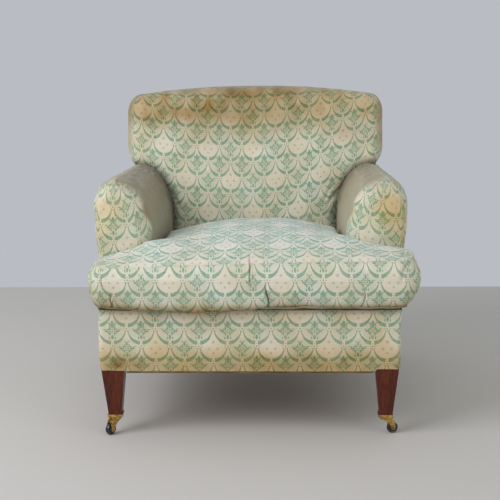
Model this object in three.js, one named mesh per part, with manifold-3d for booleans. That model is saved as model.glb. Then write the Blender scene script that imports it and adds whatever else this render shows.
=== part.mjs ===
// Low upholstered easy chair: stuffed-over beech frame with coil springs, padded arms and back,
// a loose seat cushion with ears in front of the arms, square tapered mahogany legs and brass castors.
// Millimetres, +Z up, +X to the right seen from the front, +Y towards the back.
// While it is built, Y = 0 is the face of the front border and X = 0 the middle of the seat.
import * as THREE from 'three';
import { mergeVertices } from 'three/addons/utils/BufferGeometryUtils.js';
import Module from 'manifold-3d';

const wasm = await Module();
wasm.setup();

// Fits
const GAP = 0.3;
const CLOTH = 2.5;
const SLACK = 1;

// Seat base
const SEAT_WIDTH = 720;
const SEAT_DEPTH = 735;
const BORDER_BOTTOM = 166;
const BORDER_TOP = 316;
const BORDER_CORNER = 9;
const BORDER_RETURN = 14;
const WOOD_LINE = 3;
const RAIL_THICK = 28;
const DECK_HEIGHT = 31;
const HESSIAN = 1.5;
const CORNER_BLOCK = 62;

// Front legs
const LEG_TOP = 54;
const LEG_FOOT = 32;
const LEG_FOOT_IN = 12;

// Rear posts, which are the rear legs below the seat
const POST_WIDE = 45;
const POST_DEEP = 45;
const POST_INSET = 9;
const REAR_FOOT_BACK = 40;
const POST_TOP_DROP = 48;

// Castors
const WHEEL_DIAMETER = 28;
const WHEEL_WIDTH = 13;
const WHEEL_SIDES = 24;
const WHEEL_HUB = 3;
const WHEEL_HUB_SLOPE = 1;
const WHEEL_DISH = 1.4;
const WHEEL_RIM = 3.6;
const WHEEL_SHOULDER = 2;
const WHEEL_SHOULDER_IN = 0.6;
const WHEEL_TREAD_IN = 2.6;
const CASTOR_HEIGHT = 52;
const CASTOR_TRAIL = 18;
const CUP_WALL = 1.7;
const CUP_HEIGHT = 7.6;
const CUP_DEPTH = 3.2;
const PINTLE_RADIUS = 3.5;
const PINTLE_TAIL = 2.5;
const WASHER_RADIUS = 10;
const WASHER_THICK = 2.4;
const HEAD_RADIUS = 12;
const HEAD_THICK = 5.4;
const HEAD_SIDES = 20;
const CHEEK_THICK = 2.8;
const CHEEK_BACK = 7;
const CHEEK_SHOULDER = 9;
const CHEEK_EYE = 5;
const CHEEK_THROAT = 10;
const AXLE_RADIUS = 2;
const AXLE_END = 0.8;
const PIN_SIDES = 12;
// Directions in which the castors trail, in degrees from +X towards +Y
const TRAIL_ANGLES = { front_left: 228, front_right: 16, rear_left: 118, rear_right: 74 };

// Arms
const ARM_FRONT = 110;
const ARM_FLARE = 27;
const ARM_WIDE = 151;
const ARM_ROLL_REACH = 54;
const ARM_TOP_FRONT = 613;
const ARM_SLOPE = 23;
const ARM_SHOULDER_DROP = 66;
const ARM_INNER_DROP = 158;
const ARM_NOSE = 50;
const ARM_NOSE_OUTER = 18;
const FLARE_START = 300;
const FLARE_END_DROP = 68;
const OUTSIDE_ARM_DROP = 78;
const ARM_RAIL_WIDE = 54;
const ARM_RAIL_INSET = 21;
const ARM_RAIL_THICK = 28;
const ARM_RAIL_DROP = 27;
const STUMP_WIDE = 37;
const STUMP_DEEP = 45;
const STUMP_SETBACK = 30;
const STUMP_INSET = 8;

// Back
const BACK_INSET = 15;
const BACK_WAIST = 19;
const BACK_FLARE = 62;
const BACK_TOP = 816;
const BACK_TOP_BOW = 29;
const BACK_THICK = 145;
const BACK_FRONT_RAKE = 0.165;
const BACK_REAR_RAKE = 0.0926;
const BACK_SWELL = 14;
const BACK_CORNER = 44;
const BACK_TOP_ROLL = 52;
const BACK_TOP_ROUND = 26;
const BACK_RAIL_HEIGHT = 48;
const BACK_RAIL_LIFT = 45;

// Webbing and springs
const WEB_WIDTH = 50;
const WEB_THICK = 1.6;
const TACK_EDGE = 6;
const SEAT_WEBS = 5;
const BACK_WEBS = 4;
const SPRING_ROWS = 3;
const SPRING_RADIUS = 48;
const SPRING_WAIST = 30;
const SPRING_WIRE = 2.2;
const SPRING_TURNS = 4;
const SPRING_STEPS = 9;

// Seat cushion
const CUSHION_SHIFT = 11;
const CUSHION_OVERHANG = 31;
const CUSHION_FRONT_OVERHANG = 42;
const CUSHION_ARM_GAP = 6;
const CUSHION_LOFT = 0.8;
const CUSHION_EDGE_THICK = 119;
const CUSHION_EDGE_TILT = 10;
const CUSHION_DOME = 50;
const CUSHION_DOME_SIDES = 35;
const CUSHION_REAR_FALL = 47;
const CUSHION_CROWN_Y = 250;
const CUSHION_CORNER = 46;
const CUSHION_CORNER_LEAST = 16;
const CUSHION_ROUND = 60;

const half = SEAT_WIDTH / 2;
const railTop = BORDER_TOP - DECK_HEIGHT;
const railBottom = BORDER_BOTTOM - WOOD_LINE;
const hessianTop = railTop + GAP + HESSIAN;
const padBottom = hessianTop + GAP;
const railOuter = half - CLOTH - GAP;
const postOuter = railOuter - POST_INSET;
const postTop = BACK_TOP - POST_TOP_DROP;
const legFront = CLOTH + GAP;
const floorBody = CASTOR_HEIGHT - CUP_DEPTH + GAP;
const armOuter = half + ARM_FLARE;
const armInner = armOuter - ARM_WIDE;
const armCrown = armOuter - ARM_ROLL_REACH;
const armTopRear = ARM_TOP_FRONT - ARM_SLOPE;
const flareEnd = ARM_TOP_FRONT - FLARE_END_DROP;
const armRailTop = armTopRear - ARM_RAIL_DROP;
const armRailOuter = armOuter - ARM_RAIL_INSET;
const armRailInner = armRailOuter - ARM_RAIL_WIDE;
const backHalf = armOuter - BACK_INSET;
const backFront = SEAT_DEPTH - BACK_THICK;
const clamp01 = (t) => Math.min(1, Math.max(0, t));
const lerp = (a, b, t) => a + (b - a) * t;

// Rear face of the whole chair at a height: it leans back from the rear rail upwards.
const rearFace = (z) => SEAT_DEPTH + BACK_REAR_RAKE * (z - BORDER_BOTTOM);
// Front face of the posts and back rails, where the back webbing is tacked.
const postFront = (z) => rearFace(z) - CLOTH - GAP - POST_DEEP;
// Outer side of the arm: upright at the seat, flaring out to the arm's roll.
const flare = (z) => {
  const t = clamp01((z - FLARE_START) / (flareEnd - FLARE_START));
  return half + ARM_FLARE * Math.sin((Math.PI / 2) * t);
};

// Solids and meshes
const toSolid = (geometry) => {
  const bare = geometry.clone();
  bare.deleteAttribute('normal');
  bare.deleteAttribute('uv');
  const merged = mergeVertices(bare, 1e-4);
  const triVerts = new Uint32Array(merged.index.array);
  const vertProperties = new Float32Array(merged.attributes.position.array);
  return new wasm.Manifold(new wasm.Mesh({ numProp: 3, vertProperties, triVerts }));
};
const largest = (solid) => {
  const bodies = solid.decompose();
  bodies.sort((a, b) => b.volume() - a.volume());
  return bodies[0];
};
const toGeometry = (solid) => {
  const mesh = solid.getMesh();
  const geometry = new THREE.BufferGeometry();
  geometry.setAttribute('position', new THREE.Float32BufferAttribute(mesh.vertProperties, 3));
  geometry.setIndex(new THREE.Uint32BufferAttribute(mesh.triVerts, 1));
  return geometry;
};
const block = (x0, x1, y0, y1, z0, z1) => {
  const box = new THREE.BoxGeometry(x1 - x0, y1 - y0, z1 - z0);
  return box.translate((x0 + x1) / 2, (y0 + y1) / 2, (z0 + z1) / 2);
};
const mirror = (geometry) => {
  const copy = (geometry.index ? geometry.toNonIndexed() : geometry.clone()).scale(-1, 1, 1);
  const p = copy.attributes.position;
  for (let i = 0; i < p.count; i += 3) {
    const second = new THREE.Vector3().fromBufferAttribute(p, i + 1);
    const third = new THREE.Vector3().fromBufferAttribute(p, i + 2);
    p.setXYZ(i + 1, third.x, third.y, third.z);
    p.setXYZ(i + 2, second.x, second.y, second.z);
  }
  return copy;
};
// Skin through rings of points that run anticlockwise seen from the last ring, with fan caps,
// or with caps of strips that join the ring's first half to its second.
const loft = (rings, stripCaps = false) => {
  const count = rings[0].length;
  const points = rings.flat();
  const index = [];
  for (let r = 0; r + 1 < rings.length; r++) {
    for (let i = 0; i < count; i++) {
      const a = r * count + i;
      const b = r * count + ((i + 1) % count);
      index.push(a, b, b + count, a, b + count, a + count);
    }
  }
  const last = (rings.length - 1) * count;
  if (stripCaps) {
    for (let i = 0; i + 1 < count / 2; i++) {
      const [a, b, c, d] = [i, i + 1, count - 2 - i, count - 1 - i];
      index.push(a, c, b, a, d, c);
      index.push(last + a, last + b, last + c, last + a, last + c, last + d);
    }
  } else {
    const middle = (ring) => ring.reduce((sum, p) => sum.add(p), new THREE.Vector3()).divideScalar(count);
    points.push(middle(rings[0]), middle(rings.at(-1)));
    for (let i = 0; i < count; i++) {
      const next = (i + 1) % count;
      index.push(points.length - 2, next, i);
      index.push(points.length - 1, last + i, last + next);
    }
  }
  const geometry = new THREE.BufferGeometry().setFromPoints(points);
  geometry.setIndex(index);
  return geometry;
};
const rectangle = (x0, x1, y0, y1, z) => [
  new THREE.Vector3(x0, y0, z),
  new THREE.Vector3(x1, y0, z),
  new THREE.Vector3(x1, y1, z),
  new THREE.Vector3(x0, y1, z),
];
const outline = (points) => new THREE.Shape(points.map(([x, y]) => new THREE.Vector2(x, y)));
const extrude = (shape, depth, curveSegments = 6) =>
  new THREE.ExtrudeGeometry(shape, { depth, bevelEnabled: false, curveSegments });
// An outline drawn in (Y, Z) and extruded along +X from x0 to x1.
const extrudeAcross = (points, x0, x1) => {
  const geometry = extrude(outline(points), x1 - x0);
  const turn = new THREE.Matrix4().makeBasis(
    new THREE.Vector3(0, 1, 0),
    new THREE.Vector3(0, 0, 1),
    new THREE.Vector3(1, 0, 0),
  );
  return geometry.applyMatrix4(turn).translate(x0, 0, 0);
};

const finishes = {
  beech: { color: '#b08a5c', roughness: 0.7, metalness: 0 },
  mahogany: { color: '#4a1e0c', roughness: 0.35, metalness: 0 },
  brass: { color: '#b58a3c', roughness: 0.3, metalness: 1 },
  steel: { color: '#8a8885', roughness: 0.4, metalness: 1 },
  castor_wheel: { color: '#1c1512', roughness: 0.25, metalness: 0 },
  webbing: { color: '#a8895c', roughness: 0.95, metalness: 0 },
  hessian: { color: '#a58a60', roughness: 0.95, metalness: 0 },
  stuffing: { color: '#5b4a3a', roughness: 1, metalness: 0 },
  lining: { color: '#c9bc9c', roughness: 0.95, metalness: 0 },
  ticking: { color: '#b6b89f', roughness: 0.9, metalness: 0 },
};
const chair = new THREE.Group();
chair.name = 'armchair';
const addTo = (parent, name, finish, geometry) => {
  const material = new THREE.MeshStandardMaterial(finishes[finish]);
  const mesh = new THREE.Mesh(geometry, material);
  mesh.name = name;
  parent.add(mesh);
};
const add = (name, finish, geometry) => addTo(chair, name, finish, geometry);
const addPair = (name, finish, geometry) => {
  add(`${name}_right`, finish, geometry);
  add(`${name}_left`, finish, mirror(geometry));
};

// Front legs: a square block in the seat's corner, tapering below the rails more outside than inside.
const legOuter = railOuter;
const legFoot = {
  x0: legOuter - LEG_FOOT_IN - LEG_FOOT,
  x1: legOuter - LEG_FOOT_IN,
  y0: legFront + LEG_FOOT_IN,
  y1: legFront + LEG_FOOT_IN + LEG_FOOT,
};
const frontLeg = loft([
  rectangle(legFoot.x0, legFoot.x1, legFoot.y0, legFoot.y1, floorBody),
  rectangle(legFoot.x0, legFoot.x1, legFoot.y0, legFoot.y1, CASTOR_HEIGHT + GAP),
  rectangle(legOuter - LEG_TOP, legOuter, legFront, legFront + LEG_TOP, railBottom),
  rectangle(legOuter - LEG_TOP, legOuter, legFront, legFront + LEG_TOP, railTop),
]);
addPair('front_leg', 'mahogany', frontLeg);

// Rear posts: raked rear leg below, back upright above, in one piece.
const rearFootY = rearFace(railBottom) - CLOTH - GAP + REAR_FOOT_BACK;
const postRing = (z) =>
  rectangle(postOuter - POST_WIDE, postOuter, postFront(z), postFront(z) + POST_DEEP, z);
const rearFoot = {
  x0: postOuter - LEG_FOOT,
  x1: postOuter,
  y0: rearFootY - LEG_FOOT,
  y1: rearFootY,
};
const rearPost = loft([
  rectangle(rearFoot.x0, rearFoot.x1, rearFoot.y0, rearFoot.y1, floorBody),
  rectangle(rearFoot.x0, rearFoot.x1, rearFoot.y0, rearFoot.y1, CASTOR_HEIGHT + GAP),
  postRing(railBottom),
  postRing(railTop),
  postRing(postTop),
]);
addPair('rear_post', 'mahogany', rearPost);

// Seat rails between the legs and posts
const frontRailHalf = legOuter - LEG_TOP - GAP;
const frontRailBack = legFront + RAIL_THICK;
add('front_seat_rail', 'beech',
  block(-frontRailHalf, frontRailHalf, legFront, frontRailBack, railBottom, railTop));
const railBetweenPosts = (z0, z1, inner) => {
  const x = postOuter - POST_WIDE - GAP;
  const y = (z) => postFront(z) + POST_DEEP;
  return extrudeAcross([
    [y(z0) - inner, z0],
    [y(z0), z0],
    [y(z1), z1],
    [y(z1) - inner, z1],
  ], -x, x);
};
add('rear_seat_rail', 'beech', railBetweenPosts(railBottom, railTop, RAIL_THICK));
const sideRail = extrudeAcross([
  [legFront + LEG_TOP + GAP, railBottom],
  [postFront(railBottom) - GAP, railBottom],
  [postFront(railTop) - GAP, railTop],
  [legFront + LEG_TOP + GAP, railTop],
], railOuter - RAIL_THICK, railOuter);
addPair('side_seat_rail', 'beech', sideRail);

// Corner blocks glued across the front corners, cut around the leg
const blockFace = railOuter - RAIL_THICK - GAP;
const blockFront = frontRailBack + GAP;
const cornerPrism = extrude(outline([
  [blockFace, blockFront],
  [blockFace, blockFront + CORNER_BLOCK],
  [blockFace - CORNER_BLOCK, blockFront],
]), railTop - railBottom).translate(0, 0, railBottom);
const legRoom = block(
  legOuter - LEG_TOP - GAP, legOuter, legFront, legFront + LEG_TOP + GAP, 0, railTop + GAP);
addPair('corner_block', 'beech', toGeometry(largest(toSolid(cornerPrism).subtract(toSolid(legRoom)))));

// Arm frame: a stump from the side rail up to a flat rail that runs back to the rear post
const stumpFront = ARM_FRONT + STUMP_SETBACK;
const armRailBottom = armRailTop - ARM_RAIL_THICK;
const stumpFoot = railOuter - STUMP_INSET - STUMP_WIDE;
const stumpBack = stumpFront + STUMP_DEEP;
const armStump = loft([
  rectangle(stumpFoot, stumpFoot + STUMP_WIDE, stumpFront, stumpBack, railTop + GAP),
  rectangle(armRailInner, armRailInner + STUMP_WIDE, stumpFront, stumpBack, armRailBottom - GAP),
]);
addPair('arm_stump', 'beech', armStump);
const armRail = extrudeAcross([
  [stumpFront, armRailBottom],
  [postFront(armRailBottom) - GAP, armRailBottom],
  [postFront(armRailTop) - GAP, armRailTop],
  [stumpFront, armRailTop],
], armRailInner, armRailOuter);
addPair('arm_rail', 'beech', armRail);

// Back rails
const lowerRail = railTop + BACK_RAIL_LIFT;
add('back_lower_rail', 'beech', railBetweenPosts(lowerRail, lowerRail + BACK_RAIL_HEIGHT, POST_DEEP));
add('back_top_rail', 'beech', railBetweenPosts(postTop - BACK_RAIL_HEIGHT, postTop, POST_DEEP));

// A lattice of crossing webs: straps one way lie on straps the other way and share their crossings.
const lattice = (columns, rows, long, wide) => {
  let solid = null;
  const join = (strap) => {
    const next = toSolid(strap);
    solid = solid ? solid.add(next) : next;
  };
  for (let i = 0; i < columns; i++) {
    const x = lerp(long.x0, long.x1, (i + 0.5) / columns);
    join(block(x - WEB_WIDTH / 2, x + WEB_WIDTH / 2, long.y0, long.y1, 0, WEB_THICK));
  }
  for (let i = 0; i < rows; i++) {
    const y = lerp(wide.y0, wide.y1, (i + 0.5) / rows);
    join(block(wide.x0, wide.x1, y - WEB_WIDTH / 2, y + WEB_WIDTH / 2, WEB_THICK / 2, WEB_THICK * 1.5));
  }
  return toGeometry(solid);
};
const webTop = railBottom - GAP;
const webBottom = webTop - WEB_THICK * 1.5;
const webWide = {
  x0: -railOuter + TACK_EDGE,
  x1: railOuter - TACK_EDGE,
  y0: legFront + LEG_TOP + TACK_EDGE,
  y1: postFront(railBottom) - TACK_EDGE,
};
const webLong = {
  x0: -frontRailHalf + TACK_EDGE,
  x1: frontRailHalf - TACK_EDGE,
  y0: legFront + TACK_EDGE,
  y1: postFront(railBottom) + POST_DEEP - TACK_EDGE,
};
const seatWebbing = lattice(SEAT_WEBS, SEAT_WEBS, webLong, webWide);
add('seat_webbing', 'webbing', seatWebbing.translate(0, 0, webBottom));

// Waisted coil springs standing on the webs and holding up the hessian
const springBottom = webTop + GAP;
const springTop = railTop;
class SpringPath extends THREE.Curve {
  getPoint(t, target = new THREE.Vector3()) {
    const angle = t * SPRING_TURNS * Math.PI * 2;
    const waist = Math.cos(Math.PI * (2 * t - 1) * 0.5);
    const radius = lerp(SPRING_RADIUS, SPRING_WAIST, waist);
    const z = lerp(springBottom + SPRING_WIRE, springTop - SPRING_WIRE, t);
    return target.set(radius * Math.cos(angle), radius * Math.sin(angle), z);
  }
}
const wire = new THREE.Shape();
const WIRE_SIDES = 4;
for (let i = 0; i < WIRE_SIDES; i++) {
  const a = (i / WIRE_SIDES) * Math.PI * 2;
  const [x, y] = [SPRING_WIRE * Math.cos(a), SPRING_WIRE * Math.sin(a)];
  if (i === 0) wire.moveTo(x, y);
  else wire.lineTo(x, y);
}
wire.closePath();
const springSteps = SPRING_TURNS * SPRING_STEPS;
const spring = new THREE.ExtrudeGeometry(wire, { steps: springSteps, extrudePath: new SpringPath() });
spring.computeBoundingBox();
const springTall = spring.boundingBox.max.z - spring.boundingBox.min.z;
spring.translate(0, 0, -spring.boundingBox.min.z);
spring.scale(1, 1, (springTop - springBottom) / springTall).translate(0, 0, springBottom);
const SPRING_NAMES = ['front', 'middle', 'back'];
const SPRING_SIDES = ['left', 'centre', 'right'];
for (let row = 0; row < SPRING_ROWS; row++) {
  for (let side = 0; side < SPRING_ROWS; side++) {
    const pitch = (webLong.x1 - webLong.x0) / SEAT_WEBS;
    const x = (side - 1) * pitch * 1.5;
    const y = lerp(webWide.y0, webWide.y1, (row * 1.5 + 1) / SEAT_WEBS);
    add(`seat_spring_${SPRING_NAMES[row]}_${SPRING_SIDES[side]}`, 'steel', spring.clone().translate(x, y, 0));
  }
}

// Seat layers: hessian over the springs, then stuffing and a plain deck, T-shaped around the arms
const deckFront = legFront;
const deckBack = backFront - BACK_SWELL + BACK_FRONT_RAKE * (padBottom - BORDER_TOP) - GAP;
const tee = (earHalf, earBack, bodyHalf, front, back) => outline([
  [-earHalf, front],
  [earHalf, front],
  [earHalf, earBack],
  [bodyHalf, earBack],
  [bodyHalf, back],
  [-bodyHalf, back],
  [-bodyHalf, earBack],
  [-earHalf, earBack],
]);
const hessianBack = postFront(railTop) - GAP;
const hessianShape = tee(railOuter, stumpFront - GAP, stumpFoot - GAP, deckFront, hessianBack);
add('seat_hessian', 'hessian', extrude(hessianShape, HESSIAN).translate(0, 0, railTop + GAP));
const deckTop = BORDER_TOP - GAP;
const deckShape = tee(railOuter, ARM_FRONT - GAP, armInner - GAP, deckFront, deckBack);
const deckPadThick = deckTop - CLOTH - GAP - padBottom;
add('seat_deck_pad', 'stuffing', extrude(deckShape, deckPadThick).translate(0, 0, padBottom));
add('seat_deck_cover', 'lining', extrude(deckShape, CLOTH).translate(0, 0, deckTop - CLOTH));

// Dust cover nailed under the webs
const dustTop = webBottom - GAP;
const dustShape = outline([
  [webLong.x0, webLong.y0],
  [webLong.x1, webLong.y0],
  [webLong.x1, webWide.y0],
  [webWide.x1, webWide.y0],
  [webWide.x1, webWide.y1],
  [webLong.x1, webWide.y1],
  [webLong.x1, webLong.y1],
  [webLong.x0, webLong.y1],
  [webLong.x0, webWide.y1],
  [webWide.x0, webWide.y1],
  [webWide.x0, webWide.y0],
  [webLong.x0, webWide.y0],
]);
add('dust_cover', 'hessian', extrude(dustShape, HESSIAN).translate(0, 0, dustTop - HESSIAN));

// Front border: one strip of covering cloth turned round both front corners
const borderShape = new THREE.Shape();
borderShape.moveTo(-half, BORDER_RETURN);
borderShape.lineTo(-half, BORDER_CORNER);
borderShape.quadraticCurveTo(-half, 0, -half + BORDER_CORNER, 0);
borderShape.lineTo(half - BORDER_CORNER, 0);
borderShape.quadraticCurveTo(half, 0, half, BORDER_CORNER);
borderShape.lineTo(half, BORDER_RETURN);
borderShape.lineTo(half - CLOTH, BORDER_RETURN);
borderShape.lineTo(half - CLOTH, CLOTH);
borderShape.lineTo(-half + CLOTH, CLOTH);
borderShape.lineTo(-half + CLOTH, BORDER_RETURN);
borderShape.closePath();
const borderHeight = BORDER_TOP - BORDER_BOTTOM;
add('front_border_cover', 'ticking', extrude(borderShape, borderHeight, 4).translate(0, 0, BORDER_BOTTOM));

// Half-space behind a raked plane at a distance in front of the chair's rear face
const FAR = 1200;
const behind = (distance, z0, z1, x0 = -FAR, x1 = FAR) => toSolid(extrudeAcross([
  [rearFace(z0) - distance, z0],
  [FAR, z0],
  [FAR, z1],
  [rearFace(z1) - distance, z1],
], x0, x1));

// Arm form for the right arm: upright sides, an elliptical roll on top and a rounded nose in front.
// Inset shrinks it all round, which gives the inner face of the cover and the stuffing.
const ARM_SIDE_STEPS = 5;
const ARM_ROLL_STEPS = 5;
const ARM_NOSE_STEPS = 4;
const ARM_LENGTH_STEPS = 2;
const armRing = (y, nose, inset, bottom) => {
  const t = clamp01((y - ARM_FRONT - ARM_NOSE) / (rearFace(armTopRear) - ARM_FRONT - ARM_NOSE));
  const top = lerp(ARM_TOP_FRONT, armTopRear, t) - ARM_NOSE * nose - inset;
  const shoulder = top - ARM_SHOULDER_DROP;
  const innerShoulder = top - ARM_INNER_DROP + ARM_NOSE * nose * 0.5;
  const outer = (z) => flare(z) - ARM_NOSE_OUTER * nose - inset;
  const inner = armInner + ARM_NOSE * nose + inset;
  const ring = bottom < padBottom ? [[outer(bottom), bottom]] : [];
  for (let i = 0; i <= ARM_SIDE_STEPS; i++) {
    const z = lerp(padBottom, shoulder, i / ARM_SIDE_STEPS);
    ring.push([outer(z), z]);
  }
  for (let i = 1; i <= ARM_ROLL_STEPS; i++) {
    const a = (i / ARM_ROLL_STEPS) * (Math.PI / 2);
    const reach = outer(shoulder) - armCrown;
    ring.push([armCrown + reach * Math.cos(a), shoulder + (top - shoulder) * Math.sin(a)]);
  }
  for (let i = ARM_ROLL_STEPS - 1; i >= 0; i--) {
    const a = (i / ARM_ROLL_STEPS) * (Math.PI / 2);
    const reach = armCrown - inner;
    ring.push([armCrown - reach * Math.cos(a), innerShoulder + (top - innerShoulder) * Math.sin(a)]);
  }
  ring.push([inner, bottom]);
  return ring.map(([x, z]) => new THREE.Vector3(x, y, z));
};
const armForm = (inset, bottom = padBottom) => {
  const rings = [];
  for (let i = 0; i <= ARM_NOSE_STEPS; i++) {
    const a = (i / ARM_NOSE_STEPS) * (Math.PI / 2);
    const depth = 1 - Math.cos(a);
    const y = ARM_FRONT + inset + (ARM_NOSE - inset) * depth;
    rings.push(armRing(y, 1 - Math.sin(a), inset, bottom));
  }
  for (let i = 1; i <= ARM_LENGTH_STEPS; i++) {
    rings.push(armRing(lerp(ARM_FRONT + ARM_NOSE, FAR, i / ARM_LENGTH_STEPS), 0, inset, bottom));
  }
  return toSolid(loft(rings.reverse()));
};
const rearRoom = behind(CLOTH + GAP, 0, FAR);

// Outside arm cover: a flared sheet from the border to under the arm's roll
const sheetRings = (distance, thick) => {
  const rings = [];
  const levels = [0, FLARE_START];
  for (let i = 1; i <= ARM_SIDE_STEPS; i++) {
    levels.push(lerp(FLARE_START, flareEnd, i / ARM_SIDE_STEPS));
  }
  for (const z of levels) {
    rings.push(rectangle(flare(z) - distance, flare(z) - distance + thick, -FAR, FAR, z));
  }
  return toSolid(loft(rings));
};
const nose = ARM_FRONT + ARM_NOSE;
const outsideArmTop = ARM_TOP_FRONT - OUTSIDE_ARM_DROP;
const sidePanel = toSolid(extrudeAcross([
  [BORDER_RETURN + GAP, BORDER_BOTTOM],
  [rearFace(BORDER_BOTTOM) - CLOTH - GAP, BORDER_BOTTOM],
  [rearFace(outsideArmTop) - CLOTH - GAP, outsideArmTop],
  [nose, outsideArmTop],
  [nose, BORDER_TOP],
  [BORDER_RETURN + GAP, BORDER_TOP],
], 0, FAR));
const outsideArm = sheetRings(CLOTH, CLOTH).intersect(sidePanel);
addPair('outside_arm_cover', 'ticking', toGeometry(outsideArm));

// What the outside cover takes from the arm's own cover and stuffing
const sideRoom = toSolid(extrudeAcross([
  [-FAR, 0],
  [FAR, 0],
  [FAR, outsideArmTop + GAP],
  [nose - GAP, outsideArmTop + GAP],
  [nose - GAP, BORDER_TOP + GAP],
  [-FAR, BORDER_TOP + GAP],
], 0, FAR)).intersect(sheetRings(CLOTH + GAP + SLACK, FAR));
const backFrameDeep = CLOTH + GAP + POST_DEEP + WEB_THICK * 1.5 + GAP * 2;
const backFrameSlot = behind(backFrameDeep, 0, postTop + GAP, 0, postOuter + GAP);
const armCover = armForm(0).subtract(armForm(CLOTH, 0)).subtract(sideRoom)
  .subtract(backFrameSlot).subtract(rearRoom);
addPair('arm_cover', 'ticking', toGeometry(largest(armCover)));

// Arm stuffing: over the arm rail, down the inside and in front of the stump
const armFrameRoom = toSolid(extrudeAcross([
  [stumpFront - GAP, 0],
  [FAR, 0],
  [FAR, armRailTop + GAP],
  [stumpFront - GAP, armRailTop + GAP],
], Math.min(stumpFoot, armRailInner) - GAP, FAR));
const armPad = armForm(CLOTH + GAP).subtract(sideRoom).subtract(armFrameRoom)
  .subtract(backFrameSlot).subtract(rearRoom);
addPair('arm_pad', 'stuffing', toGeometry(largest(armPad)));

// Back form: a raked slab with rounded front corners, a swelling front and a rolled, bowed top
const BACK_CORNER_STEPS = 4;
const BACK_FRONT_STEPS = 8;
const BACK_ROLL_STEPS = 5;
const OUTSIDE_BACK_STEPS = 14;
const backWidth = (z) => {
  const t = clamp01((z - armTopRear) / BACK_FLARE);
  return backHalf - BACK_WAIST * (1 - Math.sin((Math.PI / 2) * t));
};
const bow = (x) => BACK_TOP_BOW * Math.pow(Math.abs(x) / backHalf, 2.2);
const backRing = (z, roll, inset) => {
  const wide = backWidth(z) - BACK_TOP_ROUND * roll - inset;
  const front = backFront + BACK_FRONT_RAKE * (z - BORDER_TOP) + BACK_TOP_ROLL * roll + inset;
  const lift = clamp01((z - armTopRear) / (BACK_TOP - armTopRear));
  const height = (x) => z - lift * bow(x);
  const rear = (x) => rearFace(height(x)) - CLOTH - GAP - BACK_TOP_ROUND * roll - inset;
  const corner = BACK_CORNER - inset;
  const points = [[wide, front + corner]];
  for (let i = 1; i <= BACK_CORNER_STEPS; i++) {
    const a = (i / BACK_CORNER_STEPS) * (Math.PI / 2);
    points.push([wide - corner + corner * Math.cos(a), front + corner - corner * Math.sin(a)]);
  }
  const flat = wide - corner;
  for (let i = 1; i < BACK_FRONT_STEPS; i++) {
    const x = lerp(flat, -flat, i / BACK_FRONT_STEPS);
    points.push([x, front - BACK_SWELL * (1 - roll) * (1 - (x / flat) ** 2)]);
  }
  for (let i = BACK_CORNER_STEPS; i >= 0; i--) {
    const a = (i / BACK_CORNER_STEPS) * (Math.PI / 2);
    points.push([-wide + corner - corner * Math.cos(a), front + corner - corner * Math.sin(a)]);
  }
  points.push(...points.map(([x]) => [x, rear(x)]).reverse());
  return points.map(([x, y]) => new THREE.Vector3(x, y, height(x))).reverse();
};
const backForm = (inset, bottom = padBottom) => {
  const rollStart = BACK_TOP - BACK_TOP_ROLL;
  const flared = armTopRear + BACK_FLARE;
  const levels = [bottom, armTopRear, lerp(armTopRear, flared, 0.35), flared];
  const rings = levels.map((z) => backRing(z, 0, inset));
  for (let i = 0; i <= BACK_ROLL_STEPS; i++) {
    const a = (i / BACK_ROLL_STEPS) * (Math.PI / 2);
    const z = rollStart + (BACK_TOP_ROLL - inset) * Math.sin(a);
    rings.push(backRing(z, 1 - Math.cos(a), inset));
  }
  return toSolid(loft(rings, true));
};
const mirrorSolid = (solid) => toSolid(mirror(toGeometry(solid)));
const armRoomRight = armForm(-GAP, 0);
const armRoom = armRoomRight.add(mirrorSolid(armRoomRight));
// The cover and its stuffing turn over the top rail, and behind the webbing they are open.
const backFrameRoom = behind(backFrameDeep, 0, postTop + GAP, -postOuter - GAP, postOuter + GAP);
const insideBack = backForm(0).subtract(backForm(CLOTH, 0)).subtract(backFrameRoom).subtract(armRoom);
add('inside_back_cover', 'ticking', toGeometry(largest(insideBack)));

// Back stuffing: in front of the webbing and over the top rail
const backPad = backForm(CLOTH + GAP).subtract(armRoom).subtract(backFrameRoom);
add('back_pad', 'stuffing', toGeometry(largest(backPad)));

// Back webbing on the front of the posts and back rails
const rakeAngle = Math.atan(BACK_REAR_RAKE);
const backWebLow = lowerRail + TACK_EDGE;
const backWebHigh = postTop - TACK_EDGE;
const backWebHalf = postOuter - TACK_EDGE;
const backWebTall = (backWebHigh - backWebLow) / Math.cos(rakeAngle);
const backWebArea = { x0: -backWebHalf, x1: backWebHalf, y0: 0, y1: backWebTall };
const backWebbing = lattice(BACK_WEBS, BACK_WEBS, backWebArea, backWebArea);
backWebbing.rotateX(Math.PI / 2 - rakeAngle);
backWebbing.translate(0, postFront(backWebLow) - GAP / Math.cos(rakeAngle), backWebLow);
add('back_webbing', 'webbing', backWebbing);

// Outside back cover: a raked sheet from the rear rail to just under the top roll
// Its sides follow the arms up to their roll, then the narrower foot of the back and its full width.
const rearShoulder = armTopRear - ARM_SHOULDER_DROP;
const outsideBackHalf = (z) => {
  const rise = clamp01((z - rearShoulder) / ARM_SHOULDER_DROP);
  const roll = armCrown + (flare(rearShoulder) - armCrown) * Math.sqrt(1 - rise ** 2);
  return z < rearShoulder ? flare(z) : Math.max(roll, backWidth(z));
};
const outsideBackRing = (z) => {
  const wide = outsideBackHalf(z);
  return rectangle(-wide, wide, rearFace(z) - CLOTH, rearFace(z), z);
};
const outsideBackLevels = [BORDER_BOTTOM, FLARE_START];
for (let i = 1; i <= OUTSIDE_BACK_STEPS; i++) {
  outsideBackLevels.push(lerp(FLARE_START, armTopRear + BACK_FLARE, i / OUTSIDE_BACK_STEPS));
}
outsideBackLevels.push(postTop);
add('outside_back_cover', 'ticking', loft(outsideBackLevels.map(outsideBackRing)));

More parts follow.
